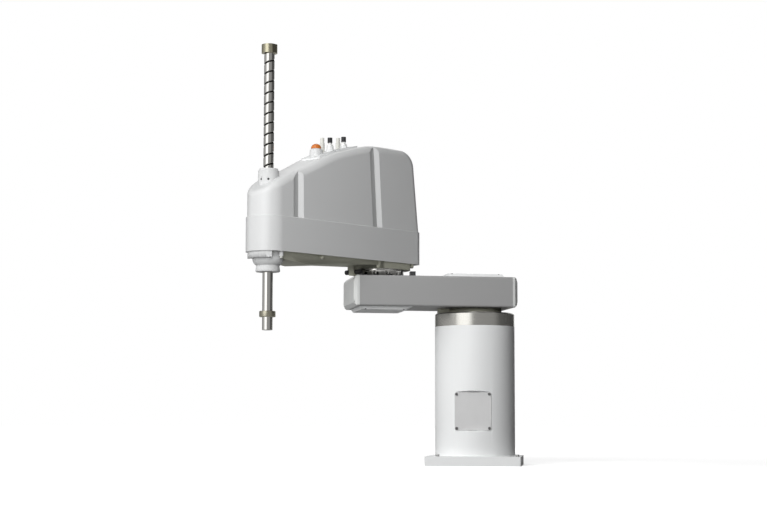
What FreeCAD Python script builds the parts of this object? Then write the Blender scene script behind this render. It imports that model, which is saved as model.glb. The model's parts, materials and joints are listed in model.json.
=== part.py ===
import FreeCAD
import Part
import math
import os

Vec = FreeCAD.Vector

# Four-axis selective-compliance robot: a bolted-down column, two arms that turn
# about upright axes, and a ball-screw spline shaft that slides and turns at the nose.
# Millimetres, +Z up, origin where the first axis meets the base's bottom face.
# The access plate of the column faces -Y.

# Clearances
seat_gap = 0.05
run_gap = 0.06
turn_gap = 0.6
face_gap = 0.7
stop_gap = 1.0

# How far a cutter, or a piece to be joined, runs past the face it meets
over = 1.0

# Pose of the two arms, in degrees from +X
arm1_angle = 196.0
arm2_angle = 235.0
half_circle = 180.0

# Base and column
plate_side = 240.0
plate_thick = 24.0
plate_corner_r = 3.0
bolt_pitch = 200.0
bolt_hole_r = 8.0
column_r = 102.0
column_top = 352.0
column_wall = 10.0
column_floor = 16.0
column_lid = 16.0
foot_fillet = 3.0
motor_pilot_r = 30.0

# Flat lands on the column and the plates on them
land_y = 91.0
land_slope = 4.0
access_w = 92.0
access_bottom = 89.0
access_top = 184.0
access_thick = 3.0
plate_fillet = 4.0
plate_screw_inset = 5.0
ground_shank = 12.0
ground_places = ((-88.0, -108.0), (110.0, -92.0))
panel_w = 90.0
panel_bottom = 56.0
panel_top = 216.0
opening_inset = 14.0

# Connectors on the panel: x, height
power_place = (-20.0, 178.0)
signal_place = (20.0, 178.0)
user_place = (0.0, 128.0)
air_places = ((-24.0, 84.0), (0.0, 84.0), (24.0, 84.0))
socket_r = 15.0
socket_pin_r = 11.0
socket_h = 16.0
socket_depth = 10.0
socket_wall = 2.0
socket_flange_t = 3.0
pin_core_gap = 3.0
signal_r = 13.0
user_half_w = 24.0
user_half_h = 7.0
user_h = 8.0
user_flange_t = 2.0
user_shell_inset = 6.0
user_shell_slope = 3.0
user_post_r = 2.5
user_post_inset = 3.0
air_ring_h = 4.0
panel_face = land_y + access_thick

# First joint: steel ring on the column, bearing, strain-wave reducer, stops
ring_h = 34.0
ring_inner_r = 84.5
ring_chamfer = 3.0
head_sink = 1.0
ring_bolt_r = 93.0
ring_bolts = 8
j1_bearing_split_r = 69.6
j1_bearing_h = 27.0
j1_bearing_rise = 4.0
race_notch = 4.0
race_sink = 2.0
j1_spline_outer_r = 55.0
j1_spline_r = 46.5
j1_spline_h = 18.0
j1_cup_wall = 2.0
cup_gap = 0.5
cup_drop = 5.0
cup_lid = 3.0
cup_rise = 2.0
plug_low = 4.0
plug_top = 17.0
plug_major_gap = 0.4
plug_minor_gap = 1.6
j1_neck_r = 69.0
stop_inner_r = 74.0
stop_outer_r = 97.0
stop_lug_half = 10.0
j1_travel = 152.0
stop_margin = 1.0

# First arm
arm1_len = 250.0
arm1_w = 187.0
arm1_bottom = 398.0
arm1_top = 475.0
arm1_rear = 78.0
arm1_front = 64.0
arm1_wall = 8.0
arm1_edge_r = 5.0
least_edge_r = 2.0
arm1_boss_r = 76.0
arm1_boss_h = 30.0
cable_bore_r = 18.0
end_plate_t = 14.0
end_plate_bevel = 8.0
end_screw_inset = 8.5
end_screw_sink = 7.5
end_screw_sink_r = 4.2
end_screw_z = 30.0
end_boss_r = 6.0
end_boss_len = 14.0
end_thread = 12.0
hatch_h = 8.0
hatch_inset = 15.5
hatch_wall = 2.5
hatch_long_slope = 12.0
hatch_short_slope = 5.0
top_hatch_rear = 60.0
top_hatch_front = 97.0
bottom_hatch_rear = 74.0
bottom_hatch_front = 60.0
hatch_screw_inset = 14.0
hatch_screw_side = 7.5
hatch_screw_shift = 8.4
hatch_post_r = 7.0
hatch_window_r = 6.0
hatch_thread = 5.0

# Second joint
j2_flange_r = 63.0
j2_gap_top = 494.0
j2_bearing_outer_r = 57.0
j2_bearing_split_r = 51.3
j2_bearing_h = 26.0
j2_race_notch = 3.0
j2_race_step = 3.0
j2_race_sink = 4.0
j2_spline_outer_r = 41.0
j2_spline_r = 34.5
j2_spline_h = 16.0
j2_cup_wall = 1.5
j2_plug_low = 3.0
j2_plug_top = 14.0
j2_neck_gap = 1.5
j2_shaft_bore = 12.0
j2_ring_thread = 10.0
j2_ring_bolt_r = 70.0
j2_ring_bolts = 12
neck_lip_h = 4.0
neck_lip = 2.0
flute_r = 4.0
flute_out = 1.0
j2_travel = 152.5
j2_stop_turn = -5.0
j2_stop_r = 88.0
j2_boss_r = 80.0
bumper_r = 6.0
bumper_len = 18.0
j2_lug_half = 9.0
j2_lug_reach = 96.0
j2_lug_root = 2.0

# Second arm: casting, skirt and cover
arm2_len = 400.0
nose_r = 53.0
nose_wall = 9.0
nose_boss_h = 14.0
taper = 2.47
arm2_rear = 88.0
rear_corner_r = 22.0
skirt_bottom = 510.0
parting_z = 594.0
skirt_wall = 4.0
deck_bottom = 514.0
deck_thick = 10.0
keel_points = ((62.0, 501.5), (arm2_len - 200.0, 495.0), (arm2_len - 100.0, 486.0),
               (arm2_len - 6.0, 494.5))
keel_inset = 16.0
keel_floor = 7.0
tub_front = arm2_len - 72.0
casting_gap = 0.5
rib_thick = 6.0
rib_h = 22.0
tub_ribs = 3
deck_rib_inset = 14.0
deck_rib_rear = 30.0
deck_rib_gap = 16.0
cover_inset = 3.0
cover_wall = 3.5
cover_edge_r = rear_corner_r - cover_inset
cover_top_z = 801.0
crown_points = ((-58.0, 642.0), (0.0, 686.0), (82.0, 721.0), (170.0, 762.0), (270.0, 791.0),
                (372.0, cover_top_z))
crown_start = (1.0, 0.95)
rear_top_r = 46.0
rear_lean = 6.5
groove_depth = 8.0
groove_front = 26.0
groove_rear = 10.0
groove_rise = 10.0
groove1_x = arm2_len - 57.0
groove1_lean = 3.0
groove2_x = 71.0
groove2_lean = 15.0
skirt_edge_bevel = 1.5
skirt_screw_x = (arm2_len - 135.0, -55.0)
skirt_screw_inset = 9.5
pillar_r = 5.0
pillar_low = 502.0

# Shaft, nuts and housings at the nose
shaft_r = 12.5
shaft_bore_r = 9.0
shaft_bottom = 325.0
shaft_top = 1012.0
spline_groove_r = 1.6
spline_count = 3
spline_out = 0.4
spline_start = 20.0
plain_end = 190.0
tool_bevel = 1.0
relief_depth = 0.3
relief_w = 2.0
cap_r = 19.0
cap_h = 21.0
cap_flat = 17.5
ring_r = 19.5
ring_low = 356.0
ring_thick = 14.0
ring_edge = 1.0
ring_slit = 0.75
screw_lead = 25.0
housing_flange_r = 48.5
housing_flange_bottom = 495.0
housing_wall = 5.0
flange_rear_x = arm2_len - 34.0
notch_y = 30.0
notch_x = 27.0
bowl_top_r = 37.0
bowl_low_r = 27.5
rim_r = 29.5
rim_top = 478.0
rim_bottom = 463.0
rim_edge = 1.5
rim_slope = 2.0
bowl_swell = 0.72
bowl_mid = 0.4
housing_lip = 5.0
shaft_clear = 1.5
nut_bore_r = 31.0
nut_r = 24.0
nut_low = 484.0
collar_r = 25.0
collar_bottom = 668.0
collar_top = 710.0
collar_bore_r = 16.0
collar_step = 2.5
collar_screw_r = 2.6
collar_screw_depth = 4.0
collar_screw_z = 683.0
collar_screw_turns = (-45.0, 0.0, 45.0, 135.0, 180.0, 225.0)

# Drives inside the second arm
belt_w = 16.0
belt_t = 2.5
belt_side = 0.4
pulley_rim = 1.3
pulley_rim_h = 2.3
nut_end = 1.5
j4_belt_z = 548.0
j3_belt_z = 573.0
spline_pulley_r = 36.0
nut_pulley_r = 34.0
motor_pulley_r = 14.0
j3_motor_back = 128.0
j4_motor_back = 214.0
j3_motor_x = arm2_len - j3_motor_back
j4_motor_x = arm2_len - j4_motor_back
bracket_z = 598.0
bracket_thick = 8.0
bracket_front_r = 38.0
bracket_leg = 9.0
bracket_side_gap = 5.0
bracket_nose_h = 14.0
bridge_inset = 6.0
bracket_hole = 3.0
upper_bearing_h = 18.0
bracket_back = 250.0
bracket_rear_x = arm2_len - bracket_back
ball_nut_top = 648.0
j1_motor_side = 86.0
j1_motor_h = 118.0
j2_motor_side = 70.0
j2_motor_h = 150.0
j3_motor_side = 60.0
j3_motor_h = 92.0
j4_motor_side = 50.0
j4_motor_h = 84.0
motor_corner_r = 6.0
motor_flange_t = 8.0
motor_barrel_inset = 2.5
motor_cap_inset = 6.0
motor_cap_share = 0.28
rotor_share = 0.5
rotor_r = 7.0
rotor_gap = 2.0

# Brake release, lamp and air fittings
button_r = 5.5
button_cap_r = 3.8
button_back = 2.0
button_x = arm2_len - button_back
button_y = 42.5
button_low = 494.5
button_guide_low = 499.0
button_travel = 3.0
button_gap = 0.3
lamp_back = 165.0
lamp_x = arm2_len - lamp_back
lamp_base_r = 16.0
lamp_base_h = 19.0
lamp_base_edge = 3.0
lamp_root = 44.0
lamp_r = 13.0
lamp_dome_h = 13.0
lamp_flank = 3.0
pad_back = 138.0
pad_len = 150.0
pad_front = arm2_len - pad_back
pad_rear = pad_front - pad_len
pad_half_w = 31.0
pad_rise = 4.0
pad_corner_r = 10.0
fitting_r = 6.0
fitting_bore_r = 3.0
fitting_ring_r = 5.0
fitting_h = 12.0
fitting_ring_h = 13.0
fitting_root = 50.0
fitting_stem_r = 4.5
nut_circle_r = 8.0
fitting_nut_top = 4.5
fitting_nut_h = 4.5
fitting_boss_r = 9.0
elbow_side = 10.0
elbow_front_back = 204.0
elbow_front_rise = 24.0
elbow_rear_back = 254.0
elbow_rear_rise = 19.0
straight_side = -20.0
straight_front_back = 208.0
straight_front_rise = 26.0
straight_rear_back = 266.0
straight_rear_rise = 18.0
elbow_fittings = ((arm2_len - elbow_front_back, elbow_side, elbow_front_rise),
                  (arm2_len - elbow_rear_back, elbow_side, elbow_rear_rise))
straight_fittings = ((arm2_len - straight_front_back, straight_side, straight_front_rise),
                     (arm2_len - straight_rear_back, straight_side, straight_rear_rise))

# Fasteners: head radius, head height, shank radius
small_screw = (3.5, 2.4, 1.9)
cap_screw = (5.0, 5.0, 2.9)


# Basic solids

def box(x0, x1, y0, y1, z0, z1):
    """Block between two corners."""
    return Part.makeBox(x1 - x0, y1 - y0, z1 - z0, Vec(x0, y0, z0))


def slab(half_x, half_y, z0, z1, corner, x=0.0, y=0.0):
    """Upright rectangular slab with rounded upright edges, centred on x, y."""
    body = box(x - half_x, x + half_x, y - half_y, y + half_y, z0, z1)
    return round_edges(body, upright_edges(body), corner)


def disc(r, z0, z1, x=0.0, y=0.0):
    """Upright cylinder."""
    return Part.makeCylinder(r, z1 - z0, Vec(x, y, z0))


def tube(outer, inner, z0, z1, x=0.0, y=0.0):
    """Upright cylinder with a bore."""
    return disc(outer, z0, z1, x, y).cut(disc(inner, z0 - over, z1 + over, x, y))


def turned(profile, x=0.0, y=0.0):
    """Solid turned about the upright axis through x, y from radius and height pairs."""
    points = [Vec(x + r, y, z) for r, z in profile]
    face = Part.Face(Part.makePolygon(points + points[:1]))
    return face.revolve(Vec(x, y, 0), Vec(0, 0, 1), 360)


def prism_across(points, half_w):
    """Prism across the Y direction over an outline of x and z pairs."""
    corners = [Vec(x, -half_w, z) for x, z in points]
    return Part.Face(Part.makePolygon(corners + corners[:1])).extrude(Vec(0, 2 * half_w, 0))


def prism_along(points, x0, x1):
    """Prism along the X direction over an outline of y and z pairs."""
    corners = [Vec(x0, y, z) for y, z in points]
    return Part.Face(Part.makePolygon(corners + corners[:1])).extrude(Vec(x1 - x0, 0, 0))


def sector(inner, outer, middle_deg, half_deg, z0, z1):
    """Part of a ring between two radii, as wide as twice half_deg about middle_deg."""
    ring = Part.makeCylinder(outer, z1 - z0, Vec(0, 0, z0), Vec(0, 0, 1), 2 * half_deg)
    ring = ring.cut(disc(inner, z0 - over, z1 + over))
    return spun(ring, middle_deg - half_deg)


def upright_edges(body):
    """Edges of a body that run straight up."""
    return [e for e in body.Edges if abs(e.tangentAt(e.FirstParameter).z) > 0.999]


def round_edges(body, edges, r):
    """Body with the given edges rounded."""
    return body.makeFillet(r, edges)


def spun(body, degrees, x=0.0, y=0.0):
    """Copy turned about the upright axis through x, y."""
    copy = body.copy()
    copy.rotate(Vec(x, y, 0), Vec(0, 0, 1), degrees)
    return copy


def moved(body, x=0.0, y=0.0, z=0.0):
    """Copy shifted by a vector."""
    copy = body.copy()
    copy.translate(Vec(x, y, z))
    return copy


def ring_places(count, r, start=0.0, x=0.0, y=0.0):
    """Points spaced evenly on a circle."""
    step = 2 * math.pi / count
    turns = [math.radians(start) + i * step for i in range(count)]
    return [(x + r * math.cos(t), y + r * math.sin(t)) for t in turns]


def corner_places(half_x, half_y, x=0.0, y=0.0):
    """Four corners of a rectangle about x, y."""
    return [(x + i * half_x, y + j * half_y) for i in (-1, 1) for j in (-1, 1)]


def screw(size, at, out, shank):
    """Screw whose head seats at a point and stands out along a direction."""
    head_r, head_h, shank_r = size
    head = Part.makeCylinder(head_r, head_h, at, out)
    stem = Part.makeCylinder(shank_r, shank, at - out * shank, out)
    return head.fuse(stem).removeSplitter()


def screw_hole(size, at, out, shank):
    """Clearance hole for a screw of that size."""
    return Part.makeCylinder(size[2] + seat_gap, shank + 2.0, at - out * (shank + over), out)


def drilled(body, holes):
    """Body with a list of holes taken out of it."""
    return body.cut(Part.makeCompound(holes))


def group(solids):
    """Separate solids kept as one piece of the list."""
    return Part.makeCompound(solids)


# Base and column

def land_cut(z0, z1):
    """Flat land milled on the front of the column, with sloped ends."""
    outline = ((-land_y, z0), (-land_y, z1), (-column_r - over, z1 + land_slope),
               (-column_r - over, z0 - land_slope))
    return prism_along(outline, -column_r, column_r)


def base_casting():
    """Mounting plate and hollow column in one casting, with two windows and four bolt holes."""
    half = plate_side / 2
    column = disc(column_r, 0, column_top)
    body = slab(half, half, 0, plate_thick, plate_corner_r).fuse(column).removeSplitter()
    foot = [e for e in body.Edges if e.Length > 6 * column_r and near(edge_z(e), plate_thick)]
    body = round_edges(body, foot, foot_fillet)
    body = body.cut(disc(column_r - column_wall, column_floor, column_top - column_lid))
    body = body.cut(disc(motor_pilot_r, column_top - column_lid - over, column_top + over))
    body = body.cut(land_cut(access_bottom, access_top))
    body = body.cut(spun(land_cut(panel_bottom, panel_top), 180))
    for window, side in ((window_block(access_w, access_bottom, access_top), 0),
                         (window_block(panel_w, panel_bottom, panel_top), 180)):
        body = body.cut(spun(window, side))
    places = corner_places(bolt_pitch / 2, bolt_pitch / 2)
    return drilled(body, [disc(bolt_hole_r, -over, plate_thick + over, x, y) for x, y in places])


def window_block(width, z0, z1):
    """Block that opens a window through the front wall behind a plate."""
    half = width / 2 - opening_inset
    return box(-half, half, -column_r, -land_y / 2, z0 + opening_inset, z1 - opening_inset)


def near(a, b):
    """True where two lengths are the same."""
    return abs(a - b) < 0.01


def edge_z(edge):
    """Height of an edge's centre."""
    return edge.CenterOfMass.z


def land_plate(width, z0, z1):
    """Flat plate with rounded corners on the front land."""
    body = box(-width / 2, width / 2, -land_y - access_thick, -land_y, z0, z1)
    edges = [e for e in body.Edges if near(abs(e.tangentAt(e.FirstParameter).y), 1.0)]
    return round_edges(body, edges, plate_fillet)


def land_screw_places(width, z0, z1):
    """Seats of the four corner screws of a land plate."""
    half = width / 2 - plate_screw_inset
    rows = (z0 + plate_screw_inset, z1 - plate_screw_inset)
    return [Vec(x, -land_y - access_thick, z) for x in (-half, half) for z in rows]


def access_plate():
    """Front plate over the column's access window."""
    places = land_screw_places(access_w, access_bottom, access_top)
    holes = [screw_hole(small_screw, p, Vec(0, -1, 0), access_thick) for p in places]
    return drilled(land_plate(access_w, access_bottom, access_top), holes)


def plate_screws(width, z0, z1):
    """Screws in the four corners of a land plate."""
    places = land_screw_places(width, z0, z1)
    return group([screw(small_screw, p, Vec(0, -1, 0), access_thick) for p in places])


def connector_panel():
    """Rear plate that carries the power, signal, user and air connections."""
    body = land_plate(panel_w, panel_bottom, panel_top)
    places = land_screw_places(panel_w, panel_bottom, panel_top)
    holes = [screw_hole(small_screw, p, Vec(0, -1, 0), access_thick) for p in places]
    return drilled(body, holes)


def round_connector(place, outer, inner):
    """Round shell connector with an open mouth, standing out of the panel."""
    x, z = place
    flange = box(x - outer, x + outer, -panel_face - socket_flange_t, -panel_face, z - outer,
                 z + outer)
    shell = Part.makeCylinder(outer - socket_wall, socket_h, Vec(x, -panel_face, z), Vec(0, -1, 0))
    depth = Vec(x, -panel_face - socket_h + socket_depth, z)
    mouth = Part.makeCylinder(inner, socket_depth + over, depth, Vec(0, -1, 0))
    core = Part.makeCylinder(inner - pin_core_gap, socket_depth - pin_core_gap, depth,
                             Vec(0, -1, 0))
    return flange.fuse(shell).cut(mouth).fuse(core).removeSplitter()


def user_connector():
    """D-shaped multi-pin connector with two jack posts."""
    x, z = user_place
    face, out = -panel_face, Vec(0, -1, 0)
    top = user_half_w - user_shell_inset
    low = top - user_shell_slope
    outline = ((-top, user_half_h), (top, user_half_h), (low, -user_half_h), (-low, -user_half_h))
    points = [Vec(x + a, face - user_flange_t, z + b) for a, b in outline]
    shell = Part.Face(Part.makePolygon(points + points[:1])).extrude(out * (user_h - user_flange_t))
    tall = user_half_h + user_flange_t
    flange = box(x - user_half_w, x + user_half_w, face - user_flange_t, face, z - tall, z + tall)
    reach = user_half_w - user_post_inset
    posts = [Part.makeCylinder(user_post_r, user_h - user_flange_t, Vec(x + s * reach, face, z), out)
             for s in (-1, 1)]
    return flange.fuse([shell] + posts).removeSplitter()


def base_air_fittings():
    """Three push-in air fittings on the panel."""
    solids, out = [], Vec(0, -1, 0)
    for x, z in air_places:
        at = Vec(x, -panel_face, z)
        reach = fitting_h + air_ring_h
        body = Part.makeCylinder(fitting_r, fitting_h, at, out)
        ring = Part.makeCylinder(fitting_ring_r, reach, at, out)
        bore = Part.makeCylinder(fitting_bore_r, fitting_h + over, at + out * air_ring_h, out)
        solids.append(body.fuse(ring).cut(bore).removeSplitter())
    return group(solids)


def ground_screws():
    """Two earthing screws near the corners of the mounting plate."""
    return group([screw(cap_screw, Vec(x, y, plate_thick), Vec(0, 0, 1), ground_shank)
                  for x, y in ground_places])


def ground_holes():
    """Tapped holes of the earthing screws."""
    return [screw_hole(cap_screw, Vec(x, y, plate_thick), Vec(0, 0, 1), ground_shank)
            for x, y in ground_places]


def motor(side, z0, height, x=0.0, y=0.0):
    """Square servo motor standing on its flange, with a stepped encoder cap."""
    half = side / 2
    flange = slab(half, half, z0, z0 + motor_flange_t, motor_corner_r, x, y)
    step, top = z0 + height * (1 - motor_cap_share), z0 + height
    wide, narrow = half - motor_barrel_inset, half - motor_cap_inset
    barrel = slab(wide, wide, z0 + motor_flange_t, step, motor_corner_r, x, y)
    cap = slab(narrow, narrow, step, top, motor_corner_r, x, y)
    body = flange.fuse([barrel, cap]).removeSplitter()
    return body.cut(disc(rotor_r + turn_gap, z0 - over, z0 + height * rotor_share, x, y))


# First joint

ring_bottom = column_top
ring_top = ring_bottom + ring_h
neck_bottom = ring_top + face_gap
j1_bearing_low = ring_bottom + j1_bearing_rise
j1_cup_r = j1_spline_r - cup_gap
j1_cup_top = neck_bottom - cup_drop
ring_seat = ring_top - cap_screw[1] - head_sink


def j1_ring():
    """Steel ring on top of the column, with counterbored bolt holes."""
    profile = ((ring_inner_r, ring_bottom), (column_r, ring_bottom),
               (column_r, ring_top - ring_chamfer), (column_r - ring_chamfer, ring_top),
               (ring_inner_r, ring_top))
    seats = ring_places(ring_bolts, ring_bolt_r, half_circle / ring_bolts)
    sinks = [disc(cap_screw[0] + seat_gap, ring_seat, ring_top + over, x, y) for x, y in seats]
    bores = [screw_hole(cap_screw, Vec(x, y, ring_seat), Vec(0, 0, 1), ring_seat - ring_bottom)
             for x, y in seats]
    return drilled(turned(profile), sinks + bores)


def ring_bolt_set():
    """Cap screws that hold the ring to the column."""
    seats = ring_places(ring_bolts, ring_bolt_r, half_circle / ring_bolts)
    return group([screw(cap_screw, Vec(x, y, ring_seat), Vec(0, 0, 1), ring_seat - ring_bottom)
                  for x, y in seats])


def j1_bearing_outer():
    """Outer race of the crossed-roller bearing, held in the ring."""
    groove = j1_bearing_low + j1_bearing_h / 2
    inner = j1_bearing_split_r + turn_gap / 2
    outer, top, notch = ring_inner_r - seat_gap, ring_top - race_sink, race_notch
    profile = ((inner, j1_bearing_low), (outer, j1_bearing_low), (outer, top), (inner, top),
               (inner, groove + notch), (inner + notch, groove), (inner, groove - notch))
    return turned(profile)


def j1_circular_spline():
    """Rigid ring of the strain-wave reducer, bolted on the column's lid."""
    return tube(j1_spline_outer_r, j1_spline_r, ring_bottom, ring_bottom + j1_spline_h)


def flex_cup(cup_r, wall, low, lid_low, lid_top, bore):
    """Thin cup of a strain-wave reducer, open below, with a bored lid."""
    profile = ((cup_r - wall, low), (cup_r, low), (cup_r, lid_top), (bore, lid_top),
               (bore, lid_low), (cup_r - wall, lid_low))
    return turned(profile)


def j1_flexspline():
    """Flexible cup that turns the first arm."""
    return flex_cup(j1_cup_r, j1_cup_wall, ring_bottom + cup_rise, j1_cup_top - cup_lid,
                    j1_cup_top, cable_bore_r)


def wave_plug(cup_inner, z0, z1):
    """Oval plug of a wave generator, a little longer one way than the other."""
    major, minor = cup_inner - plug_major_gap, cup_inner - plug_minor_gap
    oval = Part.Ellipse(Vec(0, 0, z0), major, minor).toShape()
    return Part.Face(Part.Wire([oval])).extrude(Vec(0, 0, z1 - z0))


j1_motor_top = column_top - column_lid


def j1_wave_generator():
    """Rotor of the first drive: motor shaft and oval plug."""
    top = ring_bottom + plug_top
    plug = wave_plug(j1_cup_r - j1_cup_wall, ring_bottom + plug_low, top)
    shaft = disc(rotor_r, j1_motor_top - j1_motor_h * rotor_share + rotor_gap, top)
    return plug.fuse(shaft).removeSplitter()


def j1_motor():
    """Servo motor hung under the column's lid."""
    body = motor(j1_motor_side, 0.0, j1_motor_h)
    body.rotate(Vec(0, 0, 0), Vec(1, 0, 0), 180)
    return moved(body, z=j1_motor_top)


def stop_half_deg(lug_half_deg, travel):
    """Half width of a fixed stop that leaves the lug its travel to each side."""
    return half_circle - travel - lug_half_deg - stop_margin


def j1_stop_block():
    """Fixed stop on the ring, behind the column."""
    lug_deg = math.degrees(math.asin(stop_lug_half / stop_inner_r))
    half = stop_half_deg(lug_deg, j1_travel)
    return sector(stop_inner_r, stop_outer_r, 90.0, half, ring_top, arm1_bottom - stop_gap)


# First arm, drawn along +X from its own axis

def arm1_block(inset, x0, x1):
    """Long rounded bar of the first arm, inset all round its section."""
    half = arm1_w / 2 - inset
    body = box(x0, x1, -half, half, arm1_bottom + inset, arm1_top - inset)
    edges = [e for e in body.Edges if near(abs(e.tangentAt(e.FirstParameter).x), 1.0)]
    return round_edges(body, edges, max(arm1_edge_r - inset, least_edge_r))


arm1_x0 = -arm1_rear
arm1_x1 = arm1_len + arm1_front
end_screw_y = arm1_w / 2 - end_screw_inset
hatch_half_w = arm1_w / 2 - hatch_inset


def arm1_casting():
    """Box-section casting with a boss for each joint and a hatch opening over each."""
    body = arm1_block(0.0, arm1_x0, arm1_x1)
    hollow = arm1_block(arm1_wall, arm1_x0 - over, arm1_x1 + over)
    low_boss = disc(arm1_boss_r, arm1_bottom, arm1_bottom + arm1_boss_h)
    high_boss = disc(arm1_boss_r, arm1_top - arm1_boss_h, arm1_top, arm1_len)
    hollow = hollow.cut(low_boss).cut(high_boss)
    body = body.cut(hollow)
    body = body.cut(hatch_window(-top_hatch_rear, top_hatch_front, 1))
    x0, x1 = arm1_len - bottom_hatch_rear, arm1_len + bottom_hatch_front
    body = body.cut(hatch_window(x0, x1, -1))
    body = body.cut(disc(cable_bore_r, arm1_bottom - over, arm1_bottom + arm1_boss_h + over))
    seat = disc(j2_bearing_outer_r + seat_gap, arm1_top - j2_bearing_h, arm1_top + over, arm1_len)
    bore = disc(j2_spline_r, arm1_top - arm1_boss_h - over, arm1_top, arm1_len)
    body = body.fuse(end_bosses()).removeSplitter()
    return drilled(body.cut(seat).cut(bore),
                   j2_ring_holes() + end_boss_holes() + hatch_screw_holes())


def hatch_window(x0, x1, side):
    """Opening through the arm's top wall (side 1) or bottom wall (side -1)."""
    edge = 2 * hatch_screw_inset
    wall = arm1_top if side > 0 else arm1_bottom
    half = hatch_half_w - edge
    middle = (x0 + x1) / 2
    return slab((x1 - x0) / 2 - edge, half, wall - arm1_wall - over, wall + arm1_wall + over,
                hatch_window_r, middle)


def hatch(x0, x1, front_slope, rear_slope, places):
    """Low lid with sloped sides, a hollow underneath and bosses for its screws."""
    outer = hatch_form(x0, x1, front_slope, rear_slope, 0.0)
    shell = outer.cut(hatch_form(x0, x1, front_slope, rear_slope, hatch_wall))
    return bored_hatch(outer, shell, places)


def hatch_form(x0, x1, front_slope, rear_slope, inset):
    """Sloped block of a hatch, standing on height zero."""
    top = hatch_h - inset
    low = -over if inset else 0.0
    side = hatch_short_slope
    a, b = x0 + 2 * inset, x1 - 2 * inset
    half = hatch_half_w - 2 * inset
    long_way = prism_across(((a, low), (b, low), (b - front_slope, top), (a + rear_slope, top)),
                            half)
    cross = prism_along(((-half, low), (half, low), (half - side, top), (side - half, top)), a, b)
    return long_way.common(cross)


hatch_seat = hatch_h - small_screw[1]


def top_hatch_places():
    """Screws of the hatch over the first joint."""
    x0 = -top_hatch_rear + hatch_screw_inset
    x1 = top_hatch_front - hatch_screw_inset - hatch_screw_shift
    half = hatch_half_w - hatch_screw_side
    return corner_places((x1 - x0) / 2, half, (x0 + x1) / 2)


def bottom_hatch_places():
    """Screws of the hatch under the second joint."""
    x0 = arm1_len - bottom_hatch_rear + hatch_screw_inset + hatch_screw_shift
    x1 = arm1_len + bottom_hatch_front - hatch_screw_inset
    half = hatch_half_w - hatch_screw_side
    return corner_places((x1 - x0) / 2, half, (x0 + x1) / 2)


def bored_hatch(outer, shell, places):
    """Hatch with bosses under its screws, whose heads are sunk flush."""
    posts = [disc(hatch_post_r, 0.0, hatch_h - hatch_wall, x, y).common(outer) for x, y in places]
    body = shell.fuse(posts).removeSplitter()
    holes = [disc(small_screw[2] + seat_gap, -over, hatch_h + over, x, y) for x, y in places]
    sinks = [disc(small_screw[0] + seat_gap, hatch_seat, hatch_h + over, x, y) for x, y in places]
    return drilled(body, holes + sinks)


def top_hatch():
    """Lid over the first joint."""
    body = hatch(-top_hatch_rear, top_hatch_front, hatch_long_slope, hatch_short_slope,
                 top_hatch_places())
    return moved(body, z=arm1_top)


def bottom_hatch():
    """Lid under the second joint, the same form turned over."""
    x0, x1 = arm1_len - bottom_hatch_rear, arm1_len + bottom_hatch_front
    body = hatch(x0, x1, hatch_short_slope, hatch_long_slope, bottom_hatch_places())
    body = body.mirror(Vec(0, 0, 0), Vec(0, 0, 1))
    return moved(body, z=arm1_bottom)


def hatch_screws(places, wall, out):
    """Screws through a hatch into the arm's wall."""
    return group([screw(small_screw, Vec(x, y, wall + out * hatch_seat), Vec(0, 0, out),
                        hatch_seat + hatch_thread) for x, y in places])


def hatch_screw_holes():
    """Holes for the screws of both hatches in the arm's walls."""
    depth = hatch_thread + over
    holes = [disc(small_screw[2] + seat_gap, arm1_top - depth, arm1_top + over, x, y)
             for x, y in top_hatch_places()]
    return holes + [disc(small_screw[2] + seat_gap, arm1_bottom - over, arm1_bottom + depth, x, y)
                    for x, y in bottom_hatch_places()]


def bevelled_prism(x_face, out, low, high, half_w):
    """Prism across Y that narrows towards an end plate's outer face."""
    outer = x_face + out * end_plate_t
    shoulder = outer - out * end_plate_bevel
    return prism_across(((x_face, low), (x_face, high), (shoulder, high),
                         (outer, high - end_plate_bevel), (outer, low + end_plate_bevel),
                         (shoulder, low)), half_w)


def end_plate(x_face, out):
    """Plate with bevelled edges that closes one end of the first arm."""
    outer = x_face + out * end_plate_t
    half = arm1_w / 2
    upright = bevelled_prism(x_face, out, arm1_bottom, arm1_top, half)
    level = bevelled_prism(x_face, out, -half, half, arm1_top)
    level.rotate(Vec(0, 0, 0), Vec(1, 0, 0), half_circle / 2)
    body = arm1_block(0.0, *sorted((x_face, outer))).common(upright).common(level)
    seats = end_screw_places(outer - out * end_screw_sink)
    holes = [screw_hole(small_screw, p, Vec(out, 0, 0), end_plate_t) for p in seats]
    sinks = [Part.makeCylinder(end_screw_sink_r, end_screw_sink + over, p, Vec(out, 0, 0))
             for p in seats]
    return drilled(body, holes + sinks)


def end_screw_places(x):
    """Seats of the four screws of an end plate."""
    middle = (arm1_bottom + arm1_top) / 2
    return [Vec(x, i * end_screw_y, middle + j * end_screw_z) for i in (-1, 1) for j in (-1, 1)]


def end_bosses():
    """Bosses inside both ends of the casting that take the end plates' screws."""
    low, high = arm1_bottom + over, arm1_top - over
    solids = []
    for x in (arm1_x0, arm1_x1 - end_boss_len):
        for place in end_screw_places(x):
            z0, z1 = (low, place.z + end_boss_r) if place.z < (low + high) / 2 else (
                place.z - end_boss_r, high)
            solids.append(box(x, x + end_boss_len, place.y - end_boss_r, place.y + end_boss_r,
                              z0, z1))
    return solids


def end_boss_holes():
    """Screw holes in the end bosses."""
    depth = end_thread
    holes = []
    for x in (arm1_x0, arm1_x1 - depth):
        holes += [Part.makeCylinder(small_screw[2] + seat_gap, depth, p, Vec(1, 0, 0))
                  for p in end_screw_places(x)]
    return holes


def end_screws(x_face, out):
    """Screws of one end plate."""
    seat = x_face + out * (end_plate_t - end_screw_sink)
    shank = end_plate_t - end_screw_sink + end_thread - seat_gap
    return group([screw(small_screw, p, Vec(out, 0, 0), shank)
                  for p in end_screw_places(seat)])


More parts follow.
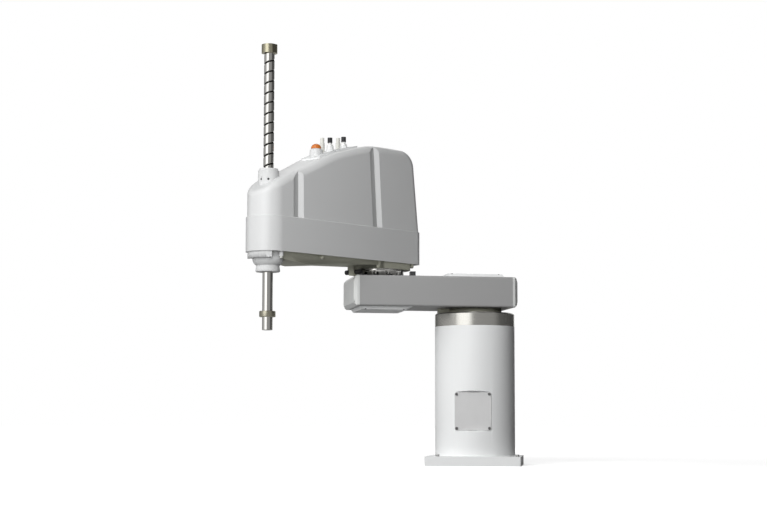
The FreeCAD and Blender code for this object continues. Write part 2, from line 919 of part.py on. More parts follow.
def j1_output_flange():
    """Neck under the first arm with the bearing's inner race, and the lug of the end stop."""
    groove = j1_bearing_low + j1_bearing_h / 2
    outer = j1_bearing_split_r - turn_gap / 2
    inner = j1_spline_outer_r + turn_gap
    low, notch = j1_bearing_low + race_sink, race_notch
    profile = ((cable_bore_r, j1_cup_top), (inner, j1_cup_top), (inner, low), (outer, low),
               (outer, groove - notch), (outer - notch, groove), (outer, groove + notch),
               (outer, neck_bottom), (j1_neck_r, neck_bottom), (j1_neck_r, arm1_bottom),
               (cable_bore_r, arm1_bottom))
    lug = box(inner, stop_outer_r - stop_gap, -stop_lug_half, stop_lug_half,
              neck_bottom + face_gap, arm1_bottom)
    return turned(profile).fuse(lug).removeSplitter()


# Second joint, drawn about its own axis

j2_bearing_low = arm1_top - j2_bearing_h
j2_neck_low = arm1_top + j2_neck_gap
j2_cup_r = j2_spline_r - cup_gap


def j2_ring_places():
    """Seats of the screws round the second joint's bearing, clear of the end plate."""
    places = ring_places(j2_ring_bolts, j2_ring_bolt_r, half_circle / j2_ring_bolts)
    return [(x, y) for x, y in places if x + cap_screw[0] < arm1_front]


def j2_ring_holes():
    """Holes for the bearing's screws in the first arm."""
    return [screw_hole(cap_screw, Vec(arm1_len + x, y, arm1_top), Vec(0, 0, 1),
                       j2_ring_thread) for x, y in j2_ring_places()]


def j2_ring_screws():
    """Screws round the second joint's bearing."""
    return group([screw(cap_screw, Vec(arm1_len + x, y, arm1_top), Vec(0, 0, 1),
                        j2_ring_thread) for x, y in j2_ring_places()])


def j2_reducer_ring():
    """Fixed ring of the second reducer in the first arm, with the bearing's outer race."""
    groove = j2_bearing_low + j2_bearing_h / 2
    inner = j2_bearing_split_r + turn_gap / 2
    notch, step = j2_race_notch, j2_bearing_low + j2_race_step
    profile = ((j2_spline_r, j2_bearing_low), (j2_bearing_outer_r, j2_bearing_low),
               (j2_bearing_outer_r, arm1_top), (inner, arm1_top), (inner, groove + notch),
               (inner + notch, groove), (inner, groove - notch), (inner, step),
               (j2_spline_outer_r, step),
               (j2_spline_outer_r, j2_bearing_low + j2_spline_h),
               (j2_spline_r, j2_bearing_low + j2_spline_h))
    return turned(profile, arm1_len)


def j2_flexspline():
    """Flexible cup held by the second arm."""
    return flex_cup(j2_cup_r, j2_cup_wall, j2_bearing_low + cup_rise, j2_neck_low - cup_lid,
                    j2_neck_low, j2_shaft_bore)


def j2_output_flange():
    """Machined neck between the arms with the inner race, fluted where its screws pass."""
    groove = j2_bearing_low + j2_bearing_h / 2
    outer = j2_bearing_split_r - turn_gap / 2
    inner = j2_spline_outer_r + turn_gap
    lip, lip_r = j2_gap_top - neck_lip_h, j2_flange_r + neck_lip
    low, notch = j2_bearing_low + j2_race_sink, j2_race_notch
    profile = ((j2_shaft_bore, j2_neck_low), (inner, j2_neck_low), (inner, low), (outer, low),
               (outer, groove - notch), (outer - notch, groove), (outer, groove + notch),
               (outer, j2_neck_low), (j2_flange_r, j2_neck_low), (j2_flange_r, lip), (lip_r, lip),
               (lip_r, j2_gap_top), (j2_shaft_bore, j2_gap_top))
    flutes = [disc(flute_r, j2_neck_low - over, lip, x, y)
              for x, y in ring_places(j2_ring_bolts, j2_flange_r + flute_out)]
    return drilled(turned(profile), flutes)


deck_top = deck_bottom + deck_thick
j2_motor_low = deck_top


def j2_wave_generator():
    """Rotor of the second drive: motor shaft and oval plug."""
    low = j2_bearing_low + j2_plug_low
    plug = wave_plug(j2_cup_r - j2_cup_wall, low, j2_bearing_low + j2_plug_top)
    shaft = disc(rotor_r, low, j2_motor_low + j2_motor_h * rotor_share - rotor_gap)
    return plug.fuse(shaft).removeSplitter()


def j2_lug_deg():
    """Half angle that the moving lug and its bumpers take up."""
    return math.degrees(math.asin((j2_lug_half + bumper_len) / (j2_stop_r - bumper_r)))


def j2_stop_block():
    """Fixed stop on top of the first arm."""
    half = stop_half_deg(j2_lug_deg(), j2_travel)
    body = sector(j2_boss_r, j2_stop_r + bumper_r, half_circle + j2_stop_turn, half, arm1_top,
                  j2_gap_top - 2 * stop_gap)
    return moved(body, arm1_len)


# Second arm, drawn along +X from its own axis

def half_width(x, inset=0.0):
    """Half width of the arm's plan at x, between the nose circle and the tapered sides."""
    slope = math.radians(taper)
    return (nose_r - inset + (arm2_len - x) * math.sin(slope)) / math.cos(slope)


def plan_block(inset, z0, z1, rear=arm2_rear, corner=rear_corner_r):
    """Upright prism over the arm's plan: round nose, tapered sides, rounded rear corners."""
    slope = math.radians(taper)
    r = nose_r - inset
    tx, ty = arm2_len + r * math.sin(slope), r * math.cos(slope)
    rx, ry = inset - rear, half_width(inset - rear, inset)
    nose = Part.Arc(Vec(tx, ty, z0), Vec(arm2_len + r, 0, z0), Vec(tx, -ty, z0)).toShape()
    sides = [Part.makeLine(Vec(tx, -ty, z0), Vec(rx, -ry, z0)),
             Part.makeLine(Vec(rx, -ry, z0), Vec(rx, ry, z0)),
             Part.makeLine(Vec(rx, ry, z0), Vec(tx, ty, z0))]
    body = Part.Face(Part.Wire([nose] + sides)).extrude(Vec(0, 0, z1 - z0))
    edges = [e for e in upright_edges(body) if near(e.CenterOfMass.x, rx)]
    return round_edges(body, edges, max(corner - inset, least_edge_r)) if corner else body


def arm2_casting():
    """Structural casting: deck, keel with a shallow belly, joint boss, nose boss and ribs."""
    inset = skirt_wall + casting_gap
    deck = plan_block(inset, deck_bottom, deck_bottom + deck_thick)
    boss = disc(j2_boss_r, j2_gap_top, deck_bottom + over)
    boss = boss.common(plan_block(inset, j2_gap_top, deck_bottom + over))
    nose = disc(nut_bore_r + nose_wall, deck_bottom, deck_top + nose_boss_h, arm2_len)
    pillars = [disc(pillar_r, pillar_low, deck_bottom + over, x, y) for x, y in skirt_screw_places()]
    keel = keel_form(keel_inset, 0.0)
    body = deck.fuse([keel, boss, nose, stop_lug()] + pillars + deck_ribs()).removeSplitter()
    body = body.cut(tub_hollow()).cut(housing_room())
    body = body.cut(disc(nut_bore_r, rim_bottom, deck_top + nose_boss_h + over, arm2_len))
    body = body.cut(disc(j2_shaft_bore, j2_gap_top - over, deck_top + over))
    return drilled(body, skirt_screw_holes())


def housing_room():
    """Room under the deck for the nut housing's flange and barrel."""
    low = min(z for x, z in keel_points) - over
    reach, side = housing_flange_r + casting_gap, notch_y + casting_gap
    band = disc(reach, low, deck_bottom, arm2_len)
    band = band.common(box(flange_rear_x - casting_gap, arm2_len + reach, -side, side, low,
                           deck_bottom))
    return band.fuse(disc(bowl_top_r + casting_gap, low, deck_bottom, arm2_len))


def keel_form(inset, lift):
    """Block under the deck whose underside falls to a shallow belly near the nose."""
    top = (deck_top if lift else deck_bottom) + over
    under = [(x, z + lift) for x, z in keel_points]
    profile = under + [(keel_points[-1][0], top), (keel_points[0][0], top)]
    low = min(z for x, z in keel_points) - over
    return plan_block(inset, low, top).common(prism_across(profile, arm1_w))


def tub_hollow():
    """Hollow of the tub above the keel's floor, split by cross ribs and a spine."""
    low = min(z for x, z in keel_points)
    top = deck_top + 2 * over
    start = j2_boss_r + rib_thick
    hollow = keel_form(keel_inset + rib_thick, keel_floor)
    hollow = hollow.common(box(start, tub_front, -arm1_w, arm1_w, low, top))
    pitch = (tub_front - start) / (tub_ribs + 1)
    ribs = [box(start + i * pitch - rib_thick / 2, start + i * pitch + rib_thick / 2, -arm1_w,
                arm1_w, low, top) for i in range(1, tub_ribs + 1)]
    spine = box(start, tub_front, -rib_thick / 2, rib_thick / 2, low, top)
    return hollow.cut(Part.makeCompound(ribs + [spine]))


def skirt_screw_places():
    """Pillars of the skirt's screws, between the keel and the skirt."""
    return [(x, side * (half_width(x) - skirt_screw_inset)) for x in skirt_screw_x
            for side in (-1, 1)]


def deck_ribs():
    """Two long ribs that stiffen the deck beside the motors."""
    level = deck_top - over
    ribs = []
    for side in (-1, 1):
        y = side * (half_width(0.0) - skirt_wall - deck_rib_inset)
        rib = box(-arm2_rear + deck_rib_rear, bracket_rear_x - deck_rib_gap, y - rib_thick / 2,
                  y + rib_thick / 2, level, level + rib_h)
        ribs.append(rib)
    return ribs


def stop_lug():
    """Cast lug that hangs beside the joint and meets the fixed stop."""
    lug = box(j2_boss_r - j2_lug_root, j2_lug_reach, -j2_lug_half, j2_lug_half, arm1_top + face_gap,
              deck_bottom)
    return spun(lug, j2_stop_turn)


def stop_bumpers():
    """Round rubber bumpers on both sides of the lug."""
    solids = []
    for side in (-1, 1):
        at = Vec(j2_stop_r, side * j2_lug_half, (arm1_top + j2_gap_top) / 2)
        pad = Part.makeCylinder(bumper_r, bumper_len, at, Vec(0, side, 0))
        solids.append(spun(pad, j2_stop_turn))
    return group(solids)


def arm2_skirt():
    """Band round the second arm between its underside and the parting line."""
    outer = plan_block(0.0, skirt_bottom, parting_z)
    rim = [e for e in outer.Edges if near(edge_z(e), parting_z)]
    outer = outer.makeChamfer(skirt_edge_bevel, rim)
    inner = plan_block(skirt_wall, skirt_bottom - over, parting_z + over)
    return outer.cut(inner)


def crown_curve(lift):
    """Top line of the cover in the arm's mid plane, from in front of the nose to the rear."""
    points = [Vec(arm2_len - d, 0, z + lift) for d, z in crown_points]
    curve = Part.BSplineCurve()
    start = Vec(-crown_start[0], 0, crown_start[1])
    curve.interpolate(Points=points, InitialTangent=start, FinalTangent=Vec(-1, 0, 0))
    return curve


def cover_profile(inset, lift):
    """Side outline of the cover as a closed wire in the mid plane."""
    rise = lift - inset
    base = parting_z - (over if inset else 0.0)
    curve = crown_curve(rise)
    start, end = curve.StartPoint, curve.EndPoint
    top = end.z
    lean = math.radians(rear_lean)
    heel = Vec(inset - arm2_rear + cover_inset, 0, parting_z)
    zc = top - rear_top_r
    xc = heel.x + (zc - parting_z) * math.tan(lean) + rear_top_r / math.cos(lean)
    crest = Vec(xc, 0, top)
    bend = Vec(xc - rear_top_r * math.cos(lean), 0, zc + rear_top_r * math.sin(lean))
    half_turn = math.pi / 4 + lean / 2
    middle = Vec(xc - rear_top_r * math.sin(half_turn), 0, zc + rear_top_r * math.cos(half_turn))
    foot = Vec(heel.x + (base - parting_z) * math.tan(lean), 0, base)
    front = Vec(start.x, 0, base)
    edges = [Part.makeLine(front, start), curve.toShape(), Part.makeLine(end, crest),
             Part.Arc(crest, middle, bend).toShape(), Part.makeLine(bend, foot),
             Part.makeLine(foot, front)]
    return Part.Wire(edges)


def cover_form(inset, lift=0.0):
    """Solid form of the cover: its plan and its side outline in common, edges rounded."""
    half = arm1_w
    side = moved(Part.Face(cover_profile(inset, lift)), y=-half).extrude(Vec(0, 2 * half, 0))
    plan = plan_block(cover_inset + inset, parting_z - 2 * over, cover_top_z + lift + over,
                      arm2_rear + cover_inset + inset, 0.0)
    body = plan.common(side)
    middle = parting_z + over
    edges = [e for e in body.Edges if e.BoundBox.ZMax > middle and not on_walls(e)]
    return round_edges(body, edges, cover_edge_r - inset)


def on_walls(edge):
    """True for edges that only split the cover's side walls or its flat crown."""
    middle = edge.valueAt((edge.FirstParameter + edge.LastParameter) / 2)
    way = edge.tangentAt((edge.FirstParameter + edge.LastParameter) / 2)
    upright = abs(way.z) > 0.999 and middle.x > 0.0
    across = abs(way.y) > 0.999 and middle.x < arm2_len
    return upright or across


def groove_cuts(inset):
    """Upright V grooves down both sides of the cover."""
    cuts = []
    for x, lean in ((groove1_x, groove1_lean), (groove2_x, groove2_lean)):
        for side in (-1, 1):
            cuts.append(groove_wedge(x, lean, side, inset))
    return cuts


def groove_wedge(x, lean, side, inset):
    """One wedge whose edge leans forward as it rises."""
    low, high = parting_z - 2 * over, cover_top_z + groove_rise
    rings = []
    for z, shift in ((low, 0.0), (high, lean)):
        middle = x + shift
        deep = half_width(middle, cover_inset + inset) - groove_depth
        wide = half_width(middle) + groove_depth
        grow = (wide - deep) / groove_depth
        corners = [Vec(middle, side * deep, z),
                   Vec(middle + groove_front * grow, side * wide, z),
                   Vec(middle - groove_rear * grow, side * wide, z)]
        rings.append(Part.makePolygon(corners + corners[:1]))
    return Part.makeLoft(rings, True)


def arm2_cover():
    """Moulded upper cover: rounded shell with two grooves down each side."""
    outer = cover_form(0.0).cut(Part.makeCompound(groove_cuts(0.0)))
    inner = cover_form(cover_wall).cut(Part.makeCompound(groove_cuts(cover_wall)))
    shell = outer.cut(inner)
    shell = shell.common(box(-arm2_rear, arm2_len + nose_r, -arm1_w, arm1_w, parting_z,
                             cover_top_z + over))
    collar = disc(collar_r + seat_gap, parting_z, cover_top_z, arm2_len)
    return shell.cut(collar)


def upper_collar():
    """Turned collar round the shaft where it leaves the cover."""
    low = collar_bottom
    neck_r, neck_low = collar_r - collar_step, collar_top - collar_step
    profile = ((collar_bore_r, low), (collar_r, low), (collar_r, neck_low - collar_step),
               (neck_r, neck_low), (neck_r, collar_top), (collar_bore_r, collar_top))
    body = turned(profile, arm2_len)
    return drilled(body, [collar_screw_hole(t) for t in collar_screw_turns])


def collar_screw_hole(turn):
    """Radial screw seat in the collar."""
    out = Vec(math.cos(math.radians(turn)), math.sin(math.radians(turn)), 0)
    at = Vec(arm2_len, 0, collar_screw_z) + out * (collar_r - collar_screw_depth)
    return Part.makeCylinder(collar_screw_r + seat_gap, collar_screw_depth + over, at, out)


def collar_screws():
    """Set screws in the collar."""
    solids = []
    for turn in collar_screw_turns:
        out = Vec(math.cos(math.radians(turn)), math.sin(math.radians(turn)), 0)
        at = Vec(arm2_len, 0, collar_screw_z) + out * (collar_r - collar_screw_depth)
        solids.append(Part.makeCylinder(collar_screw_r, collar_screw_depth - over, at, out))
    return group(solids)


def lower_housing():
    """Nut housing under the nose: flange with two notches, bowl and rim."""
    flange = disc(housing_flange_r, housing_flange_bottom, deck_bottom, arm2_len)
    for side in (-1, 1):
        y0, y1 = sorted((side * notch_y, side * (housing_flange_r + over)))
        flange = flange.cut(box(arm2_len - housing_flange_r - over, arm2_len + notch_x, y0, y1,
                                housing_flange_bottom - over, deck_bottom + over))
    rear = arm2_len - housing_flange_r - over
    flange = flange.cut(box(rear, flange_rear_x, -housing_flange_r, housing_flange_r,
                            housing_flange_bottom - over, deck_bottom + over))
    bowl = bowl_form()
    body = flange.fuse(bowl).removeSplitter()
    body = body.cut(disc(nut_bore_r - housing_lip, nut_low - 2 * stop_gap, deck_bottom + over, arm2_len))
    body = body.cut(disc(nut_bore_r, housing_flange_bottom, deck_bottom + over, arm2_len))
    return body.cut(disc(shaft_r + shaft_clear, rim_bottom - over, nut_low, arm2_len))


def bowl_form():
    """Round bowl that narrows to the rim, turned from lines and one arc."""
    low, high = rim_top, housing_flange_bottom
    wall, edge = nut_bore_r + housing_wall, rim_r - rim_edge

    def at(r, z):
        return Vec(arm2_len + r, 0, z)

    swell = at(bowl_low_r + bowl_swell * (bowl_top_r - bowl_low_r), low + bowl_mid * (high - low))
    lower = [at(0, deck_bottom), at(0, rim_bottom), at(edge, rim_bottom),
             at(rim_r, rim_bottom + rim_slope), at(bowl_low_r, low)]
    upper = [at(bowl_top_r, high), at(wall, high + over), at(wall, deck_bottom), at(0, deck_bottom)]
    edges = [Part.makeLine(a, b) for line in (lower, upper) for a, b in zip(line, line[1:])]
    edges.append(Part.Arc(lower[-1], swell, upper[0]).toShape())
    outline = Part.Wire(Part.__sortEdges__(edges))
    return Part.Face(outline).revolve(at(0, 0), Vec(0, 0, 1), 360)


def nut_bearing(z0, z1):
    """Bearing round a nut, drawn as one ring."""
    return tube(nut_bore_r - seat_gap, nut_r + run_gap, z0, z1, arm2_len)


def pulley_profile(r, z0, bore, low, high):
    """Half section of a nut with a flanged belt track between z0 and its top."""
    rim = r + pulley_rim_h
    a, b = z0 - belt_side, z0 + belt_w + belt_side
    return ((bore, low), (nut_r, low), (nut_r, a - pulley_rim), (rim, a - pulley_rim), (rim, a),
            (r, a), (r, b), (rim, b), (rim, b + pulley_rim), (nut_r, b + pulley_rim),
            (nut_r, high), (bore, high))


def spline_nut():
    """Nut that turns the shaft through its straight grooves, with its belt track."""
    bore = shaft_r + run_gap
    top = j4_belt_z + belt_w + pulley_rim + nut_end
    return turned(pulley_profile(spline_pulley_r, j4_belt_z, bore, nut_low, top), arm2_len)


def ball_nut():
    """Nut that lifts and lowers the shaft as it turns, with its belt track."""
    bore = shaft_r + run_gap
    low = j3_belt_z - pulley_rim - nut_end
    return turned(pulley_profile(nut_pulley_r, j3_belt_z, bore, low, ball_nut_top), arm2_len)


def motor_pulley(x, z0, top):
    """Motor pulley with its shaft up into the motor."""
    low, high = z0 - belt_side, z0 + belt_w + belt_side
    body = disc(motor_pulley_r, low, high, x)
    rims = [disc(motor_pulley_r + pulley_rim_h, z, z + pulley_rim, x)
            for z in (low - pulley_rim, high)]
    shaft = disc(rotor_r, z0 + belt_w, top, x)
    return body.fuse(rims + [shaft]).removeSplitter()


def rotor_top(motor_h):
    """Top of the rotor inside a motor that stands on the bracket."""
    return bracket_top + motor_h * rotor_share - rotor_gap


def belt(x_small, r_big, z0):
    """Closed belt round two pulleys."""
    outer = belt_loop(x_small, r_big + turn_gap / 2 + belt_t, motor_pulley_r + turn_gap / 2 + belt_t,
                      z0, z0 + belt_w)
    inner = belt_loop(x_small, r_big + turn_gap / 2, motor_pulley_r + turn_gap / 2, z0 - over,
                      z0 + belt_w + over)
    return outer.cut(inner)


def belt_loop(x_small, r_big, r_small, z0, z1):
    """Upright prism over two circles and their outer tangents."""
    span = arm2_len - x_small
    lean = math.asin((r_big - r_small) / span)
    s, c = math.sin(lean), math.cos(lean)
    top_a = Vec(arm2_len - r_big * s, r_big * c, z0)
    top_b = Vec(x_small - r_small * s, r_small * c, z0)
    low_a, low_b = Vec(top_a.x, -top_a.y, z0), Vec(top_b.x, -top_b.y, z0)
    edges = [Part.Arc(low_a, Vec(arm2_len + r_big, 0, z0), top_a).toShape(),
             Part.makeLine(top_a, top_b),
             Part.Arc(top_b, Vec(x_small - r_small, 0, z0), low_b).toShape(),
             Part.makeLine(low_b, low_a)]
    return Part.Face(Part.Wire(edges)).extrude(Vec(0, 0, z1 - z0))


bracket_top = bracket_z + bracket_thick


def drive_bracket():
    """Table that carries two motors and the ball nut's bearing, on four legs."""
    rear, front = bracket_rear_x, j3_motor_x + j3_motor_side
    half = half_width(front) - skirt_wall - bracket_side_gap
    table = box(rear, front, -half, half, bracket_z, bracket_top)
    nose = disc(bracket_front_r, bracket_z, bracket_top + bracket_nose_h, arm2_len)
    side = bracket_front_r - bridge_inset
    bridge = box(front - over, arm2_len, -side, side, bracket_z, bracket_top)
    legs = [box(x, x + bracket_leg, y, y + bracket_leg, deck_top, bracket_z + over)
            for x in (rear, front - bracket_leg) for y in (-half, half - bracket_leg)]
    body = table.fuse([nose, bridge] + legs).removeSplitter()
    body = body.cut(disc(nut_bore_r, bracket_z - over, bracket_top + bracket_nose_h + over, arm2_len))
    for x in (j3_motor_x, j4_motor_x):
        body = body.cut(disc(rotor_r + bracket_hole, bracket_z - over, bracket_top + over, x))
    return body


# Shaft

def shaft():
    """Hollow ball-screw spline shaft: straight grooves above a plain end, which is bevelled
    at the tool and has a grinding relief under the stop ring."""
    relief_r = shaft_r - relief_depth
    profile = ((shaft_bore_r, shaft_bottom), (shaft_r - tool_bevel, shaft_bottom),
               (shaft_r, shaft_bottom + tool_bevel), (shaft_r, ring_low),
               (relief_r, ring_low), (relief_r, ring_low + relief_w),
               (shaft_r, ring_low + relief_w), (shaft_r, shaft_top), (shaft_bore_r, shaft_top))
    grooves = [disc(spline_groove_r, shaft_bottom + plain_end, shaft_top + over, x, y)
               for x, y in ring_places(spline_count, shaft_r + spline_out, spline_start, arm2_len)]
    return drilled(turned(profile, arm2_len), grooves)


def top_cap():
    """Clamped stop collar at the top of the shaft, with two wrench flats."""
    low = shaft_top - cap_h
    body = tube(cap_r, shaft_r + seat_gap, low, shaft_top, arm2_len)
    keep = box(arm2_len - cap_r, arm2_len + cap_r, -cap_flat, cap_flat, low - over, shaft_top + over)
    return body.common(keep)


def lower_stop():
    """Clamped stop ring near the tool end of the shaft, slit on one side."""
    bore, top, edge = shaft_r + seat_gap, ring_low + ring_thick, ring_edge
    profile = ((bore, ring_low), (ring_r - edge, ring_low), (ring_r, ring_low + edge),
               (ring_r, top - edge), (ring_r - edge, top), (bore, top))
    slit = box(arm2_len - ring_r - over, arm2_len, -ring_slit, ring_slit, ring_low - over, top + over)
    return turned(profile, arm2_len).cut(slit)


# Brake release, lamp and fittings

def button_guide():
    """Sleeve that guides the brake release button under the deck."""
    return tube(button_r, button_cap_r + button_gap, button_guide_low, deck_bottom, button_x, button_y)


def brake_button():
    """Brake release button, pressed upwards."""
    return disc(button_cap_r, button_low, deck_bottom - button_travel - stop_gap, button_x, button_y)


def fitting_pad():
    """Raised pad moulded to the slope of the crown, with a boss for each elbow fitting."""
    raised = cover_form(0.0, pad_rise)
    window = slab((pad_front - pad_rear) / 2, pad_half_w, parting_z, cover_top_z + fitting_root,
                  pad_corner_r, (pad_front + pad_rear) / 2)
    bosses = [disc(fitting_boss_r, elbow_boss_top(p) - fitting_root, elbow_boss_top(p), p[0], p[1])
              for p in elbow_fittings]
    return raised.common(window).fuse(bosses).cut(cover_form(0.0)).removeSplitter()


def stand_on_pad(solid, raised):
    """Upright piece cut off where it meets the pad."""
    return solid.cut(raised)


def crown_height(x):
    """Height of the crown over x."""
    line = Part.makeLine(Vec(x, 0, parting_z), Vec(x, 0, cover_top_z + fitting_root))
    return crown_curve(0.0).toShape().distToShape(line)[1][0][0].z


def lamp_base(raised):
    """White base of the signal lamp."""
    top = crown_height(lamp_x) + lamp_base_h
    low, edge = top - lamp_root, lamp_base_edge
    body = turned(((0, low), (lamp_base_r, low), (lamp_base_r, top - edge),
                   (lamp_base_r - edge, top), (0, top)), lamp_x)
    return stand_on_pad(body, raised)


def lamp_dome():
    """Domed lens of the signal lamp."""
    low = crown_height(lamp_x) + lamp_base_h
    rise = lamp_dome_h - lamp_flank
    ball_r = (lamp_r ** 2 + rise ** 2) / (2 * rise)
    ball = Part.makeSphere(ball_r, Vec(lamp_x, 0, low + lamp_dome_h - ball_r))
    return ball.common(disc(lamp_r, low, low + lamp_dome_h + over, lamp_x))


def elbow_boss_top(place):
    """Top of the boss that an elbow fitting is screwed into."""
    x, y, rise = place
    return crown_height(x) + rise - fitting_nut_top - fitting_nut_h


def elbow_fitting(place):
    """Screwed-in air fitting: hexagon, neck and a wide release cap with an open bore."""
    x, y, rise = place
    low = elbow_boss_top(place)
    top = crown_height(x) + rise
    hexagon = [Vec(a, b, low) for a, b in ring_places(6, nut_circle_r, 0.0, x, y)]
    nut = Part.Face(Part.makePolygon(hexagon + hexagon[:1])).extrude(Vec(0, 0, fitting_nut_h))
    neck = disc(fitting_stem_r, low, top, x, y)
    cap = disc(fitting_r, top, top + fitting_ring_h, x, y)
    body = nut.fuse([neck, cap]).removeSplitter()
    return body.cut(disc(fitting_bore_r, top, top + fitting_ring_h + over, x, y))


def straight_fitting(place, raised):
    """Upright push-in air fitting that stands on the pad, its bore open at the top."""
    x, y, rise = place
    top = crown_height(x) + rise
    body = disc(fitting_r, top - fitting_root, top, x, y)
    body = body.fuse(disc(fitting_ring_r, top, top + fitting_ring_h, x, y)).removeSplitter()
    body = body.cut(disc(fitting_bore_r, top - fitting_h, top + fitting_ring_h + over, x, y))
    return stand_on_pad(body, raised)


def skirt_screws():
    """Screws on the skirt's underside lugs, which are cast under the deck."""
    shank = deck_bottom - pillar_low + deck_thick / 2
    return group([screw(small_screw, Vec(x, y, pillar_low), Vec(0, 0, -1), shank)
                  for x, y in skirt_screw_places()])


def skirt_screw_holes():
    """Holes for the skirt's screws in the deck."""
    shank = deck_bottom - pillar_low + deck_thick / 2
    return [screw_hole(small_screw, Vec(x, y, pillar_low), Vec(0, 0, -1), shank)
            for x, y in skirt_screw_places()]


# Placing and writing

def on_arm1(body):
    """Piece of the first arm, turned to its place."""
    return spun(body, arm1_angle)


def on_arm2(body):
    """Piece of the second arm, turned and carried to the elbow."""
    turn = math.radians(arm1_angle)
    return moved(spun(body, arm2_angle), arm1_len * math.cos(turn), arm1_len * math.sin(turn))


def rear(body):
    """Piece of the rear panel, drawn on the front land."""
    return spun(body, 180)


def base_pieces():
    """Everything that stays with the column, and the first motor's rotor."""
    panel_group = plate_screws(panel_w, panel_bottom, panel_top)
    access_group = plate_screws(access_w, access_bottom, access_top)
    sockets = [round_connector(power_place, socket_r, socket_pin_r),
               round_connector(signal_place, signal_r, signal_r - socket_r + socket_pin_r)]
    return {
        "base_casting": drilled(base_casting(), ground_holes()),
        "access_plate": access_plate(),
        "plate_screws": group(access_group.Solids + rear(panel_group).Solids),
        "connector_panel": rear(connector_panel()),
        "round_connectors": rear(group(sockets)),
        "user_connector": rear(user_connector()),
        "base_air_fittings": rear(base_air_fittings()),
        "ground_screws": ground_screws(),
        "j1_motor": j1_motor(),
        "j1_ring": j1_ring(),
        "j1_ring_bolts": ring_bolt_set(),
        "j1_bearing_outer": j1_bearing_outer(),
        "j1_circular_spline": j1_circular_spline(),
        "j1_stop_block": j1_stop_block(),
        "j1_wave_generator": j1_wave_generator(),
    }


def arm1_pieces():
    """Everything that turns with the first arm."""
    top_screws = hatch_screws(top_hatch_places(), arm1_top, 1)
    low_screws = hatch_screws(bottom_hatch_places(), arm1_bottom, -1)
    pieces = {
        "arm1_casting": arm1_casting(),
        "arm1_front_plate": end_plate(arm1_x1, 1),
        "arm1_rear_plate": end_plate(arm1_x0, -1),
        "arm1_end_screws": group(end_screws(arm1_x1, 1).Solids + end_screws(arm1_x0, -1).Solids),
        "arm1_top_hatch": top_hatch(),
        "arm1_bottom_hatch": bottom_hatch(),
        "arm1_hatch_screws": group(top_screws.Solids + low_screws.Solids),
        "j1_output_flange": j1_output_flange(),
        "j1_flexspline": j1_flexspline(),
        "j2_reducer_ring": j2_reducer_ring(),
        "j2_ring_screws": j2_ring_screws(),
        "j2_stop_block": j2_stop_block(),
    }
    return {name: on_arm1(body) for name, body in pieces.items()}


def arm2_pieces():
    """Everything that turns with the second arm, and its moving pieces."""
    raised = cover_form(0.0, pad_rise)
    bearings = [nut_bearing(housing_flange_bottom, deck_top),
                nut_bearing(bracket_z, bracket_z + upper_bearing_h)]
    pieces = {
        "arm2_casting": arm2_casting(),
        "arm2_skirt": arm2_skirt(),
        "arm2_skirt_screws": skirt_screws(),
        "arm2_cover": arm2_cover(),
        "j2_output_flange": j2_output_flange(),
        "j2_flexspline": j2_flexspline(),
        "j2_stop_bumpers": stop_bumpers(),
        "j2_motor": motor(j2_motor_side, j2_motor_low, j2_motor_h),
        "j2_wave_generator": j2_wave_generator(),
        "drive_bracket": drive_bracket(),
        "j3_motor": motor(j3_motor_side, bracket_top, j3_motor_h, j3_motor_x),
        "j4_motor": motor(j4_motor_side, bracket_top, j4_motor_h, j4_motor_x),
        "j3_belt": belt(j3_motor_x, nut_pulley_r, j3_belt_z),
        "j4_belt": belt(j4_motor_x, spline_pulley_r, j4_belt_z),
        "nut_bearings": group(bearings),
        "lower_housing": lower_housing(),
        "upper_collar": upper_collar(),
        "collar_screws": collar_screws(),
        "button_guide": button_guide(),
        "brake_button": brake_button(),
        "fitting_pad": fitting_pad(),
        "lamp_base": lamp_base(raised),
        "lamp_dome": lamp_dome(),
        "elbow_fittings": group([elbow_fitting(p) for p in elbow_fittings]),
        "straight_fittings": group([straight_fitting(p, raised) for p in straight_fittings]),
        "spline_nut": spline_nut(),
        "ball_nut": ball_nut(),
        "j3_motor_pulley": motor_pulley(j3_motor_x, j3_belt_z, rotor_top(j3_motor_h)),
        "j4_motor_pulley": motor_pulley(j4_motor_x, j4_belt_z, rotor_top(j4_motor_h)),
        "shaft": shaft(),
        "top_cap": top_cap(),
        "lower_stop": lower_stop(),
    }
    return {name: on_arm2(body) for name, body in pieces.items()}


def write_pieces():
    """Write every piece to its own file."""
    os.makedirs("parts", exist_ok=True)
    for make in (base_pieces, arm1_pieces, arm2_pieces):
        for name, body in make().items():
            if not body.Solids or not body.isValid():
                raise ValueError(name + " is not a closed solid")
            body.exportStep("parts/" + name + ".step")


write_pieces()
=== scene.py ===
import json
import math

import bmesh
import bpy
import numpy as np
from mathutils import Matrix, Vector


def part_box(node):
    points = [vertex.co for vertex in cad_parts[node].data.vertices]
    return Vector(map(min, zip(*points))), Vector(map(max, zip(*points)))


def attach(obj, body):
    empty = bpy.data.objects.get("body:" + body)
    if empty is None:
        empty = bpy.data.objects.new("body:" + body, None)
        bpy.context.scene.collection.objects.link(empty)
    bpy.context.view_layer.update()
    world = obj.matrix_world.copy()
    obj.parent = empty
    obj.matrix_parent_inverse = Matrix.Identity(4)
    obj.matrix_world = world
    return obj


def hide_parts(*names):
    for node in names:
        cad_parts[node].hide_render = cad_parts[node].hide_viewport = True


bl_info = {
    "name": "Four axis arm robot",
    "version": (1, 0, 0),
    "blender": (4, 5, 0),
    "location": "View3D > Sidebar > Robot",
    "description": "Finishes and fine shapes of a bolted-down robot with two level arms",
    "category": "Object",
}

